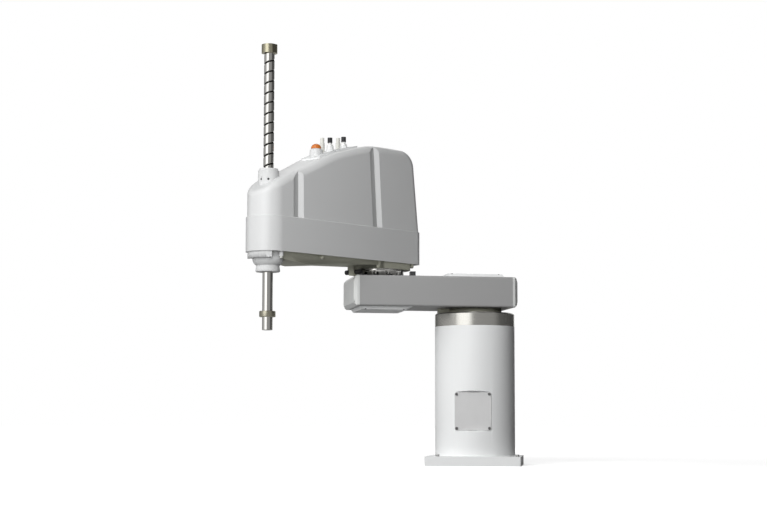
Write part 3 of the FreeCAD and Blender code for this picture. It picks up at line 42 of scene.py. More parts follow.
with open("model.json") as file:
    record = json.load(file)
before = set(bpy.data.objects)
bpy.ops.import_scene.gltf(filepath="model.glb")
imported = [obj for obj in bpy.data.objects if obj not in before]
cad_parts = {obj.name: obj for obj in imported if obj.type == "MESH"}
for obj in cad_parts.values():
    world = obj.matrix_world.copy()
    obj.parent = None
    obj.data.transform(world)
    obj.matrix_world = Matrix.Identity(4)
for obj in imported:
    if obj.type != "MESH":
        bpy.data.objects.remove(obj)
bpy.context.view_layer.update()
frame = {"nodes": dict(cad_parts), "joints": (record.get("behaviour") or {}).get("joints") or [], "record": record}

# Places taken from the frame, in metres
JOINTS = {joint["name"]: joint for joint in frame["joints"]}
ELBOW = np.array(JOINTS["j2"]["pos_m"][:2])
NOSE = np.array(JOINTS["j4"]["pos_m"][:2])
NODE_BODY = {node: body for body, nodes in frame["record"]["behaviour"]["bodies"].items()
             for node in nodes}
MOUNTS = {mount["name"]: mount for mount in frame["record"]["mounts"]}

# The shaft, in metres. Its radii are the frame's
SHAFT_RADIUS = MOUNTS["tool_shaft"]["dims"]["r_mm"] / 1000
BORE_RADIUS = MOUNTS["shaft_bore"]["dims"]["r_mm"] / 1000
SHAFT_EDGE = 0.0008
SHAFT_ROWS = 640
SHAFT_COLUMNS = 96
GROOVE_RUN_OUT = 0.006
BALL_GROOVE_HALF = 0.0023
SPLINE_GROOVES = 3
SPLINE_GROOVE_TURN = 0.35
SPLINE_GROOVE_HALF = 0.0013
SPLINE_GROOVE_DEPTH = 0.0004
# How fast the grease and painted shade in the shaft's grooves darken with a groove's depth
GROOVE_DARKENING = 1.5

# How far the black parts of the hose fittings reach below their mouths
ELBOW_CAP = 0.0132
MOUTH_RING = 0.003

# Meshes: doubles closer than this are merged, and thinner faces are dissolved
MERGE_DISTANCE = 1e-6
THIN_FACE = 1e-7
EVEN_SHADING_WEIGHT = 60

# Finishes: how much broader the large mottling is than the fine, and the clear coat's gloss
BROAD_GRAIN = 28.0
COAT_ROUGHNESS = 0.08
# Colour of the grease and painted shade at the bottom of the shaft's grooves
GROOVE_GREASE_AND_SHADE = (0.015, 0.015, 0.013, 1.0)
WHITE = (1.0, 1.0, 1.0, 1.0)

# The photograph's camera
IMAGE_WIDTH = 767.0
FOCAL_PIXELS = 1711.85
SENSOR_MM = 36.0
CAMERA_FAR = 4.4017
CAMERA_HIGH = 0.1030
CAMERA_AZIMUTH = 0.0538
CAMERA_YAW = 0.0533
CAMERA_TILT = 0.0984
CAMERA_ROLL = 0.0015
CAMERA_CLIP = (0.1, 100.0)

# The room that metal mirrors, as brightness at angles from the camera's side towards the
# right: white behind, black corners, a left wall that brightens to a window at the left
# front, and a dim right wall that ends in the dark
WALLS = ((-180, 1.0), (-162, 1.0), (-154, 0.05), (-120, 0.3), (-60, 0.7), (-40, 1.9),
         (-12, 1.9), (-2, 0.4), (60, 0.35), (80, 0.1), (156, 0.05), (166, 1.0), (180, 1.0))

# The floor's own glow grows between two distances in metres
FLOOR_FADE = (0.8, 2.6)
FLOOR_GLOW = (0.62, 1.0)
FLOOR_HALF = 60.0
FLOOR_SEEN = (0.9, 0.9, 0.9, 1.0)
FLOOR_UNSEEN = (0.2, 0.2, 0.2, 1.0)
MIRRORED_FLOOR = 0.35

# Lamps: place, point aimed at, width and height
LAMPS = {
    "key": ((-0.5, -2.25, 1.15), (-0.1, -0.1, 0.6), 1.3, 1.9),
    "side": ((-2.1, -0.3, 0.95), (-0.1, -0.1, 0.5), 1.4, 1.4),
    "back": ((-1.7, 2.4, 1.3), (-0.2, 0.0, 0.5), 1.6, 1.6),
    "top": ((-0.4, -0.7, 2.5), (-0.2, -0.1, 0.5), 1.4, 1.4),
}


# Sizes and colours that a user may change

class RobotSizes(bpy.types.PropertyGroup):
    """Sizes of the fine shapes."""
    screw_lead: bpy.props.FloatProperty(
        name="Screw lead", description="Rise of the ball groove in one turn of the shaft",
        default=0.025, min=0.005, unit="LENGTH")
    groove_depth: bpy.props.FloatProperty(
        name="Groove depth", description="Depth of the ball groove in the shaft",
        default=0.0011, min=0.0, unit="LENGTH")
    plain_end: bpy.props.FloatProperty(
        name="Plain end", description="Height on the shaft below which it has no grooves",
        default=0.515, min=0.3, unit="LENGTH")
    smooth_angle: bpy.props.FloatProperty(
        name="Smooth angle", description="Faces that meet at less than this are shaded as one",
        default=math.radians(28), subtype="ANGLE")
    crease_angle: bpy.props.FloatProperty(
        name="Crease angle", description="Faces of the cover that meet at more than this show an edge",
        default=math.radians(7), subtype="ANGLE")
    peel: bpy.props.FloatProperty(
        name="Paint texture", description="Height of the fine waves in sprayed paint",
        default=0.00004, min=0.0, precision=6, unit="LENGTH")


class RobotColours(bpy.types.PropertyGroup):
    """Colours of the finishes."""
    column: bpy.props.FloatVectorProperty(
        name="Column paint", description="Gloss paint of the column and its plate",
        default=(0.83, 0.84, 0.84), size=3, min=0, max=1, subtype="COLOR")
    arm: bpy.props.FloatVectorProperty(
        name="Arm paint", description="Satin paint of the first arm",
        default=(0.335, 0.335, 0.335), size=3, min=0, max=1, subtype="COLOR")
    arm_cap: bpy.props.FloatVectorProperty(
        name="End plate paint", description="Paint of the first arm's end plates",
        default=(0.62, 0.63, 0.62), size=3, min=0, max=1, subtype="COLOR")
    skirt: bpy.props.FloatVectorProperty(
        name="Skirt paint", description="Paint of the second arm's skirt",
        default=(0.57, 0.575, 0.575), size=3, min=0, max=1, subtype="COLOR")
    cover: bpy.props.FloatVectorProperty(
        name="Cover", description="Moulded cover of the second arm",
        default=(0.585, 0.59, 0.59), size=3, min=0, max=1, subtype="COLOR")
    lamp: bpy.props.FloatVectorProperty(
        name="Lamp", description="Lens of the signal lamp",
        default=(0.55, 0.15, 0.015), size=3, min=0, max=1, subtype="COLOR")


class StageSettings(bpy.types.PropertyGroup):
    """Light of the stage."""
    key_power: bpy.props.FloatProperty(
        name="Key light", description="Power of the large light at the left front",
        default=52.0, min=0.0, subtype="POWER")
    side_power: bpy.props.FloatProperty(
        name="Side light", description="Power of the light at the left",
        default=17.0, min=0.0, subtype="POWER")
    top_power: bpy.props.FloatProperty(
        name="Top light", description="Power of the light overhead",
        default=10.0, min=0.0, subtype="POWER")
    back_power: bpy.props.FloatProperty(
        name="Back light", description="Power of the light behind the object at the left",
        default=16.0, min=0.0, subtype="POWER")
    room: bpy.props.FloatProperty(
        name="Room light", description="Strength of the even light from all round",
        default=0.04, min=0.0)


# Shader helpers

def node(tree, kind, **inputs):
    """New shader node with some of its input values set by name or number."""
    made = tree.nodes.new(kind)
    for key, value in inputs.items():
        made.inputs[key.replace("_", " ")].default_value = value
    return made


def math_node(tree, kind, first, second):
    """Math node on two sockets or numbers."""
    made = tree.nodes.new("ShaderNodeMath")
    made.operation = kind
    for index, value in enumerate((first, second)):
        if isinstance(value, (int, float)):
            made.inputs[index].default_value = value
        else:
            tree.links.new(value, made.inputs[index])
    return made.outputs[0]


def spread(tree, value, low, high):
    """Map a 0 to 1 value to the range from low to high, which may be sockets."""
    made = tree.nodes.new("ShaderNodeMapRange")
    tree.links.new(value, made.inputs["Value"])
    for key, limit in (("To Min", low), ("To Max", high)):
        if isinstance(limit, (int, float)):
            made.inputs[key].default_value = limit
        else:
            tree.links.new(limit, made.inputs[key])
    return made.outputs["Result"]


def new_group(name):
    """Shader node group for a surface that varies, with the sockets that all of them share."""
    tree = bpy.data.node_groups.new(name, "ShaderNodeTree")
    for label, kind in (("Vector", "Vector"), ("Scale", "Float"), ("Colour", "Color"),
                        ("Colour Change", "Float"), ("Roughness", "Float"),
                        ("Roughness Change", "Float")):
        tree.interface.new_socket(name=label, in_out="INPUT", socket_type="NodeSocket" + kind)
    for label, kind in (("Colour", "Color"), ("Roughness", "Float"), ("Height", "Float")):
        tree.interface.new_socket(name=label, in_out="OUTPUT", socket_type="NodeSocket" + kind)
    return tree, tree.nodes.new("NodeGroupInput"), tree.nodes.new("NodeGroupOutput")


def limits(tree, middle, change):
    """Values that lie a change below and a change above a middle one."""
    return (math_node(tree, "SUBTRACT", middle, change), math_node(tree, "ADD", middle, change))


def vary(tree, source, out, pattern, height):
    """Group outputs: a pattern carries the colour and the roughness between their limits."""
    shade = spread(tree, pattern, *limits(tree, 1.0, source.outputs["Colour Change"]))
    scaled = tree.nodes.new("ShaderNodeVectorMath")
    scaled.operation = "SCALE"
    tree.links.new(source.outputs["Colour"], scaled.inputs[0])
    tree.links.new(shade, scaled.inputs["Scale"])
    tree.links.new(scaled.outputs[0], out.inputs["Colour"])
    rough = limits(tree, source.outputs["Roughness"], source.outputs["Roughness Change"])
    tree.links.new(spread(tree, pattern, *rough), out.inputs["Roughness"])
    tree.links.new(height, out.inputs["Height"])


def mixed(tree, factor, first, second):
    """Colour between two colours."""
    made = tree.nodes.new("ShaderNodeMix")
    made.data_type = "RGBA"
    sockets = (made.inputs[0], made.inputs[6], made.inputs[7])
    for socket, value in zip(sockets, (factor, first, second)):
        if hasattr(value, "is_linked"):
            tree.links.new(value, socket)
        else:
            socket.default_value = value
    return made.outputs[2]


def grain_group():
    """Mottled surface: the mean of a fine and a broad noise, with the fine one as height."""
    tree, source, out = new_group("surface grain")
    fine = node(tree, "ShaderNodeTexNoise", Detail=3.0, Roughness=0.6)
    broad = node(tree, "ShaderNodeTexNoise", Detail=2.0, Roughness=0.5)
    for noise in (fine, broad):
        tree.links.new(source.outputs["Vector"], noise.inputs["Vector"])
    tree.links.new(source.outputs["Scale"], fine.inputs["Scale"])
    broad_scale = math_node(tree, "DIVIDE", source.outputs["Scale"], BROAD_GRAIN)
    tree.links.new(broad_scale, broad.inputs["Scale"])
    both = math_node(tree, "ADD", fine.outputs["Fac"], broad.outputs["Fac"])
    vary(tree, source, out, math_node(tree, "MULTIPLY", both, 0.5), fine.outputs["Fac"])
    return tree


def turned_group():
    """Lathe marks: noise on the distance from the axis and on the height along it."""
    tree, source, out = new_group("turned marks")
    split = tree.nodes.new("ShaderNodeSeparateXYZ")
    tree.links.new(source.outputs["Vector"], split.inputs[0])
    square = math_node(tree, "ADD",
                       math_node(tree, "MULTIPLY", split.outputs[0], split.outputs[0]),
                       math_node(tree, "MULTIPLY", split.outputs[1], split.outputs[1]))
    join = tree.nodes.new("ShaderNodeCombineXYZ")
    tree.links.new(math_node(tree, "SQRT", square, 0.0), join.inputs[0])
    tree.links.new(split.outputs[2], join.inputs[1])
    marks = node(tree, "ShaderNodeTexNoise", Detail=4.0, Roughness=0.7)
    tree.links.new(join.outputs[0], marks.inputs["Vector"])
    tree.links.new(source.outputs["Scale"], marks.inputs["Scale"])
    vary(tree, source, out, marks.outputs["Fac"], marks.outputs["Fac"])
    return tree


GROUPS = {}
FINISHES = {}


def effect(name):
    """The shader group of that name, built once."""
    if name not in GROUPS:
        GROUPS[name] = {"grain": grain_group, "turned": turned_group}[name]()
    return GROUPS[name]


def finish(name, colour, kind="grain", scale=300.0, colour_change=0.04, roughness=0.4,
           roughness_change=0.06, depth=0.00003, centre=(0.0, 0.0), metallic=0.0, coat=0.0,
           spec=0.5):
    """Material whose colour, roughness and height vary over the surface by one of the groups."""
    if name in FINISHES:
        return FINISHES[name]
    material = bpy.data.materials.new(name)
    material.use_nodes = True
    tree = material.node_tree
    shader = tree.nodes["Principled BSDF"]
    place = tree.nodes.new("ShaderNodeTexCoord")
    shift = tree.nodes.new("ShaderNodeMapping")
    shift.inputs["Location"].default_value = (-centre[0], -centre[1], 0.0)
    tree.links.new(place.outputs["Object"], shift.inputs["Vector"])
    group = tree.nodes.new("ShaderNodeGroup")
    group.node_tree = effect(kind)
    tree.links.new(shift.outputs[0], group.inputs["Vector"])
    group.inputs["Scale"].default_value = scale
    group.inputs["Colour"].default_value = (*colour, 1.0)
    group.inputs["Colour Change"].default_value = colour_change
    group.inputs["Roughness"].default_value = roughness
    group.inputs["Roughness Change"].default_value = roughness_change
    tree.links.new(group.outputs["Colour"], shader.inputs["Base Color"])
    tree.links.new(group.outputs["Roughness"], shader.inputs["Roughness"])
    bump = tree.nodes.new("ShaderNodeBump")
    bump.inputs["Distance"].default_value = depth
    tree.links.new(group.outputs["Height"], bump.inputs["Height"])
    tree.links.new(bump.outputs["Normal"], shader.inputs["Normal"])
    shader.inputs["Metallic"].default_value = metallic
    shader.inputs["Coat Weight"].default_value = coat
    shader.inputs["Coat Roughness"].default_value = COAT_ROUGHNESS
    shader.inputs["Specular IOR Level"].default_value = spec
    FINISHES[name] = material
    return material


def tones():
    """The colours that a user may change."""
    return bpy.context.scene.robot_colours


def peel():
    """Height of the waves in sprayed paint."""
    return bpy.context.scene.robot_sizes.peel


def column_paint():
    """Glossy white enamel."""
    return finish("gloss white enamel", tones().column, scale=420.0, colour_change=0.015,
                  roughness=0.42, roughness_change=0.05, depth=peel())


def arm_paint():
    """Grey satin paint of the first arm."""
    return finish("grey satin enamel", tones().arm, scale=420.0, colour_change=0.03,
                  roughness=0.42, roughness_change=0.06, depth=peel())


def cap_paint():
    """Pale paint of the end plates and the rear panel."""
    return finish("pale satin enamel", tones().arm_cap, scale=420.0, colour_change=0.03,
                  roughness=0.36, roughness_change=0.06, depth=peel())


def skirt_paint():
    """White satin paint of the skirt."""
    return finish("white satin enamel", tones().skirt, scale=700.0, colour_change=0.008,
                  roughness=0.29, roughness_change=0.015, depth=peel() * 0.25, spec=0.8)


def cover_plastic():
    """Moulded plastic with a fine grain."""
    return finish("moulded white plastic", tones().cover, scale=700.0, colour_change=0.01,
                  roughness=0.30, roughness_change=0.03, depth=0.00001, spec=0.8)


def raw_casting():
    """Unpainted cast alloy, dull and a little olive."""
    return finish("raw cast alloy", (0.45, 0.45, 0.37), scale=520.0, colour_change=0.16,
                  roughness=0.55, roughness_change=0.12, depth=0.00022, metallic=0.35)


def turned_steel(centre, name="turned steel", colour=(0.62, 0.61, 0.58), roughness=0.3):
    """Bright steel with lathe marks round an axis."""
    label = "%s %d %d" % (name, round(centre[0] * 1000), round(centre[1] * 1000))
    return finish(label, colour, kind="turned", scale=1100.0, colour_change=0.1,
                  roughness=roughness, roughness_change=0.09, depth=0.000012, centre=centre,
                  metallic=1.0)


def ground_steel():
    """Hard ground steel of the shaft, dark where its grooves are deep: grease there, and painted shade."""
    material = finish("ground shaft steel", (0.66, 0.65, 0.62), kind="turned", scale=1500.0,
                      colour_change=0.06, roughness=0.11, roughness_change=0.04,
                      depth=0.000004, centre=tuple(NOSE), metallic=1.0)
    tree = material.node_tree
    colour = tree.nodes["Principled BSDF"].inputs["Base Color"]
    depth = tree.nodes.new("ShaderNodeAttribute")
    depth.attribute_name = "groove"
    tree.links.new(mixed(tree, depth.outputs["Fac"], colour.links[0].from_socket,
                         GROOVE_GREASE_AND_SHADE), colour)
    return material


def mark_grooves(mesh, radius, depth, low, high):
    """Vertex attribute that is 0 on the shaft's surface and 1 at the bottom of its grooves:
    what the radius lacks, as a share of the groove's depth. It masks the grease and painted
    shade in the grooves."""
    points = np.empty(len(mesh.vertices) * 3)
    mesh.vertices.foreach_get("co", points)
    points = points.reshape(-1, 3)
    lack = (radius - np.hypot(points[:, 0] - NOSE[0], points[:, 1] - NOSE[1])) / depth
    on_side = (points[:, 2] > low) & (points[:, 2] < high)
    shade = np.where(on_side, np.clip(GROOVE_DARKENING * lack, 0.0, 1.0), 0.0)
    mesh.attributes.new("groove", "FLOAT", "POINT").data.foreach_set("value", shade)


def zinc_plate():
    """Zinc-plated steel."""
    return finish("zinc plated steel", (0.56, 0.56, 0.55), scale=900.0, colour_change=0.12,
                  roughness=0.34, roughness_change=0.1, depth=0.00001, metallic=1.0)


def dull_steel():
    """Plain steel of the access plate's screws."""
    return finish("dull screw steel", (0.17, 0.17, 0.17), scale=900.0, colour_change=0.15,
                  roughness=0.4, roughness_change=0.08, depth=0.00001, metallic=0.9)


def black_oxide():
    """Blackened steel with a thin oil film."""
    return finish("black oxide steel", (0.035, 0.036, 0.038), scale=900.0, colour_change=0.3,
                  roughness=0.36, roughness_change=0.1, depth=0.00001, metallic=0.7)


def black_rubber():
    """Dull black rubber."""
    return finish("black rubber", (0.02, 0.02, 0.021), scale=800.0, colour_change=0.3,
                  roughness=0.72, roughness_change=0.12, depth=0.00004)


def black_plastic():
    """Satin black plastic."""
    return finish("black moulded plastic", (0.025, 0.026, 0.028), scale=900.0,
                  colour_change=0.2, roughness=0.42, roughness_change=0.08, depth=0.00002)


def milled_alloy():
    """Milled and brushed alloy."""
    return finish("milled alloy", (0.60, 0.60, 0.59), scale=1300.0, colour_change=0.1,
                  roughness=0.4, roughness_change=0.1, depth=0.00002, metallic=0.85)


def painted_alloy():
    """White-painted alloy of the housings at the nose."""
    return finish("white painted alloy", tones().skirt, scale=640.0, colour_change=0.04,
                  roughness=0.45, roughness_change=0.08, depth=peel() * 2, coat=0.05)


def pad_plastic():
    """Matte plastic of the fitting pad."""
    return finish("matte pale plastic", (0.70, 0.71, 0.71), scale=900.0, colour_change=0.03,
                  roughness=0.55, roughness_change=0.08, depth=0.00004)


def lamp_lens():
    """Amber lens."""
    return finish("amber lens", tones().lamp, scale=500.0, colour_change=0.1, roughness=0.14,
                  roughness_change=0.04, depth=0.00002, coat=0.6)


def white_plastic():
    """Smooth white plastic of the elbow bodies."""
    return finish("smooth white plastic", (0.74, 0.74, 0.73), scale=700.0, colour_change=0.03,
                  roughness=0.3, roughness_change=0.05, depth=0.00002)


def clear_plastic():
    """Milky plastic of the pale fittings."""
    return finish("milky plastic", (0.62, 0.62, 0.58), scale=600.0, colour_change=0.06,
                  roughness=0.25, roughness_change=0.06, depth=0.00002, coat=0.4)


def panel_paint():
    """Grey textured paint of the access plate."""
    return finish("textured grey paint", (0.62, 0.62, 0.62), scale=1000.0, colour_change=0.1,
                  roughness=0.5, roughness_change=0.1, depth=0.00012)


def motor_paint():
    """Black satin paint of the motors."""
    return finish("black satin enamel", (0.03, 0.031, 0.033), scale=500.0, colour_change=0.15,
                  roughness=0.4, roughness_change=0.08, depth=0.00003, coat=0.1)


# Mesh helpers

def grid_faces(rows, columns):
    """Quads between neighbouring rows and columns of a grid, closed round its columns."""
    i = np.arange(rows - 1)[:, None]
    j = np.arange(columns)[None, :]
    k = (j + 1) % columns
    quads = np.stack([i * columns + j, i * columns + k, (i + 1) * columns + k,
                      (i + 1) * columns + j], -1)
    return quads.reshape(-1, 4)


def clean_mesh(mesh, angle, outward=True):
    """Merges doubles, shades smooth below an angle and turns the faces outwards."""
    work = bmesh.new()
    work.from_mesh(mesh)
    bmesh.ops.remove_doubles(work, verts=work.verts, dist=MERGE_DISTANCE)
    bmesh.ops.dissolve_degenerate(work, dist=THIN_FACE, edges=work.edges)
    if outward:
        bmesh.ops.recalc_face_normals(work, faces=work.faces)
    for face in work.faces:
        face.smooth = True
    work.to_mesh(mesh)
    work.free()
    mesh.set_sharp_from_angle(angle=angle)


def new_piece(name, grid, body, material, replaced):
    """Mesh of a closed grid, at the origin, that rides on a body and stands for CAD nodes."""
    mesh = bpy.data.meshes.new(name)
    mesh.from_pydata(grid.reshape(-1, 3).tolist(), [], grid_faces(*grid.shape[:2]).tolist())
    clean_mesh(mesh, bpy.context.scene.robot_sizes.smooth_angle)
    mesh.materials.append(material)
    piece = bpy.data.objects.new(name, mesh)
    bpy.context.scene.collection.objects.link(piece)
    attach(piece, body)
    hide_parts(*replaced)
    return piece


def smooth_copy(source, material, angle=None):
    """Merged and smoothly shaded copy of a CAD node, which stands for it."""
    angle = angle or bpy.context.scene.robot_sizes.smooth_angle
    original = frame["nodes"][source]
    mesh = original.data.copy()
    mesh.name = source + "_finished"
    clean_mesh(mesh, angle, outward=False)
    mesh.materials.clear()
    mesh.materials.append(material)
    piece = bpy.data.objects.new(source + "_finished", mesh)
    bpy.context.scene.collection.objects.link(piece)
    evened = piece.modifiers.new("even shading", "WEIGHTED_NORMAL")
    evened.keep_sharp = True
    evened.weight = EVEN_SHADING_WEIGHT
    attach(piece, NODE_BODY[source])
    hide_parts(source)
    return piece


def cap_faces(piece, ports, depth, material):
    """Second finish on the faces that lie within a depth below the mouth of the nearest port."""
    mesh = piece.data
    mesh.materials.append(material)
    middle = np.empty(len(mesh.polygons) * 3)
    mesh.polygons.foreach_get("center", middle)
    middle = middle.reshape(-1, 3)
    mouths = np.array([port["pos_m"] for port in ports])
    nearest = np.argmin(((middle[:, None, :2] - mouths[None, :, :2]) ** 2).sum(-1), 1)
    raised = middle[:, 2] > mouths[nearest, 2] - depth
    mesh.polygons.foreach_set("material_index", raised.astype(np.int32))


def ports_named(start):
    """Mounts whose names start with a word."""
    return [mount for name, mount in MOUNTS.items() if name.startswith(start)]


def smooth_nodes(names, material):
    """Smooth copies of several nodes in one finish."""
    for name in names:
        smooth_copy(name, material)


def ring(radius, turn, level):
    """Level circle round the shaft's own axis, at one height or several."""
    return np.stack([radius * np.cos(turn), radius * np.sin(turn), level + 0 * turn], -1)


def shaft_grid(sizes, bottom, top):
    """Radius over angle and height: the shaft's radius less a round groove that climbs one
    lead in a turn, less straight grooves, all fading out at the plain end. The rings at both
    ends close it over the bore."""
    turn = np.linspace(0, 2 * np.pi, SHAFT_COLUMNS, endpoint=False)[None, :]
    level = np.linspace(bottom + SHAFT_EDGE, top - SHAFT_EDGE, SHAFT_ROWS)[:, None]
    fade = np.clip((level - sizes.plain_end) / GROOVE_RUN_OUT, 0.0, 1.0)
    phase = turn - 2 * np.pi * (level - bottom) / sizes.screw_lead
    across = ((phase + np.pi) % (2 * np.pi) - np.pi) * sizes.screw_lead / (2 * np.pi)
    ball = np.clip(1.0 - (across / BALL_GROOVE_HALF) ** 2, 0.0, None)
    pitch = 2 * np.pi / SPLINE_GROOVES
    line = (turn - SPLINE_GROOVE_TURN) % pitch - pitch / 2
    spline = np.clip(1.0 - (line * SHAFT_RADIUS / SPLINE_GROOVE_HALF) ** 2, 0.0, None)
    depth = fade * np.maximum(sizes.groove_depth * np.sqrt(ball),
                              SPLINE_GROOVE_DEPTH * np.sqrt(spline))
    shoulder = SHAFT_RADIUS - SHAFT_EDGE
    rows = [ring(BORE_RADIUS, turn, bottom), ring(shoulder, turn, bottom),
            ring(SHAFT_RADIUS - depth, turn, level), ring(shoulder, turn, top),
            ring(BORE_RADIUS, turn, top), ring(BORE_RADIUS, turn, bottom)]
    return np.concatenate(rows) + np.array([NOSE[0], NOSE[1], 0.0])


# Operators, one for each piece or group of like pieces

class PaintColumn(bpy.types.Operator):
    """Paint the column, its mounting plate and the rear panel"""
    bl_idname = "robot.column"
    bl_label = "Column"

    def execute(self, context):
        smooth_nodes(("base_casting",), column_paint())
        smooth_nodes(("access_plate",), panel_paint())
        smooth_nodes(("connector_panel",), cap_paint())
        smooth_nodes(("j1_motor",), motor_paint())
        return {"FINISHED"}


class FinishFirstJoint(bpy.types.Operator):
    """Finish the steel ring, flange, bearing and reducer of the first joint"""
    bl_idname = "robot.first_joint"
    bl_label = "First joint"

    def execute(self, context):
        steel = turned_steel((0.0, 0.0), colour=(0.62, 0.61, 0.57), roughness=0.22)
        smooth_nodes(("j1_ring", "j1_bearing_outer", "j1_circular_spline", "j1_wave_generator",
                      "j1_flexspline"), steel)
        smooth_nodes(("j1_output_flange",), raw_casting())
        smooth_nodes(("j1_stop_block",), motor_paint())
        return {"FINISHED"}


class PaintFirstArm(bpy.types.Operator):
    """Paint the first arm, its end plates and its hatches"""
    bl_idname = "robot.first_arm"
    bl_label = "First arm"

    def execute(self, context):
        smooth_nodes(("arm1_casting",), arm_paint())
        smooth_nodes(("arm1_front_plate", "arm1_rear_plate"), cap_paint())
        smooth_nodes(("arm1_top_hatch", "arm1_bottom_hatch"), column_paint())
        return {"FINISHED"}


class FinishSecondJoint(bpy.types.Operator):
    """Finish the reducer, the neck and the end stop of the second joint"""
    bl_idname = "robot.second_joint"
    bl_label = "Second joint"

    def execute(self, context):
        steel = turned_steel(tuple(ELBOW), colour=(0.74, 0.73, 0.70), roughness=0.14)
        smooth_nodes(("j2_reducer_ring", "j2_output_flange", "j2_flexspline",
                      "j2_wave_generator"), steel)
        smooth_nodes(("j2_stop_block",), motor_paint())
        smooth_nodes(("j2_stop_bumpers",), black_rubber())
        smooth_nodes(("j2_motor",), motor_paint())
        return {"FINISHED"}


class PaintSecondArm(bpy.types.Operator):
    """Finish the second arm's casting, skirt and cover"""
    bl_idname = "robot.second_arm"
    bl_label = "Second arm"

    def execute(self, context):
        smooth_nodes(("arm2_casting",), raw_casting())
        smooth_nodes(("arm2_skirt",), skirt_paint())
        smooth_copy("arm2_cover", cover_plastic(), context.scene.robot_sizes.crease_angle)
        smooth_nodes(("fitting_pad",), pad_plastic())
        return {"FINISHED"}


class FinishDrives(bpy.types.Operator):
    """Finish the motors, belts, nuts and bracket inside the second arm"""
    bl_idname = "robot.drives"
    bl_label = "Drives"

    def execute(self, context):
        smooth_nodes(("j3_motor", "j4_motor"), motor_paint())
        smooth_nodes(("j3_belt", "j4_belt"), black_rubber())
        smooth_nodes(("drive_bracket", "j3_motor_pulley", "j4_motor_pulley"), milled_alloy())
        smooth_nodes(("spline_nut", "ball_nut", "nut_bearings"), turned_steel(tuple(NOSE)))
        return {"FINISHED"}


class FinishNose(bpy.types.Operator):
    """Finish the collar, the nut housing and the brake release button"""
    bl_idname = "robot.nose"
    bl_label = "Nose"

    def execute(self, context):
        smooth_nodes(("upper_collar", "lower_housing"), painted_alloy())
        smooth_nodes(("button_guide",), cover_plastic())
        smooth_nodes(("brake_button",), clear_plastic())
        return {"FINISHED"}


class MakeShaft(bpy.types.Operator):
    """Make the hollow shaft with its ball groove and spline grooves"""
    bl_idname = "robot.shaft"
    bl_label = "Shaft"

    def execute(self, context):
        sizes = context.scene.robot_sizes
        low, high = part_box("shaft")
        shaft = new_piece("ball_screw_shaft", shaft_grid(sizes, low[2], high[2]), "shaft",
                          ground_steel(), ("shaft",))
        # The grooves get darker with depth: grease and painted shade
        mark_grooves(shaft.data, SHAFT_RADIUS, sizes.groove_depth, low[2] + 1.5 * SHAFT_EDGE,
                     high[2] - 1.5 * SHAFT_EDGE)
        smooth_nodes(("top_cap",), turned_steel(tuple(NOSE), "gold passivated steel",
                                                (0.52, 0.49, 0.36), 0.27))
        smooth_nodes(("lower_stop",), turned_steel(tuple(NOSE), "stop ring steel",
                                                   (0.46, 0.44, 0.35), 0.27))
        return {"FINISHED"}


class FinishScrews(bpy.types.Operator):
    """Finish all screws"""
    bl_idname = "robot.screws"
    bl_label = "Screws"

    def execute(self, context):
        smooth_nodes(("ground_screws", "arm2_skirt_screws"), zinc_plate())
        smooth_nodes(("plate_screws",), dull_steel())
        smooth_nodes(("j1_ring_bolts", "j2_ring_screws", "collar_screws", "arm1_end_screws",
                      "arm1_hatch_screws"), black_oxide())
        return {"FINISHED"}


class FinishLamp(bpy.types.Operator):
    """Finish the signal lamp"""
    bl_idname = "robot.lamp"
    bl_label = "Signal lamp"

    def execute(self, context):
        smooth_nodes(("lamp_base",), cover_plastic())
        smooth_nodes(("lamp_dome",), lamp_lens())
        return {"FINISHED"}


class FinishFittings(bpy.types.Operator):
    """Finish the hose fittings and the connectors"""
    bl_idname = "robot.fittings"
    bl_label = "Fittings"

    def execute(self, context):
        smooth_nodes(("base_air_fittings",), black_plastic())
        elbows = smooth_copy("elbow_fittings", white_plastic())
        cap_faces(elbows, ports_named("elbow_port"), ELBOW_CAP, black_plastic())
        straights = smooth_copy("straight_fittings", clear_plastic())
        cap_faces(straights, ports_named("straight_port"), MOUTH_RING, black_plastic())
        smooth_nodes(("round_connectors", "user_connector"), milled_alloy())
        return {"FINISHED"}


class SetStage(bpy.types.Operator):
    """Set the floor, the lights, the background and the camera"""
    bl_idname = "robot.stage"
    bl_label = "Stage"

    def execute(self, context):
        scene = context.scene
        scene.view_settings.view_transform = "Standard"
        lay_floor()
        light_room(scene.robot_stage)
        place_camera(scene)
        return {"FINISHED"}


def ray_is(tree, *kinds):
    """1 for rays of any of the given kinds, else 0."""
    path = tree.nodes.new("ShaderNodeLightPath")
    total = path.outputs["Is %s Ray" % kinds[0]]
    for kind in kinds[1:]:
        total = math_node(tree, "MAXIMUM", total, path.outputs["Is %s Ray" % kind])
    return total


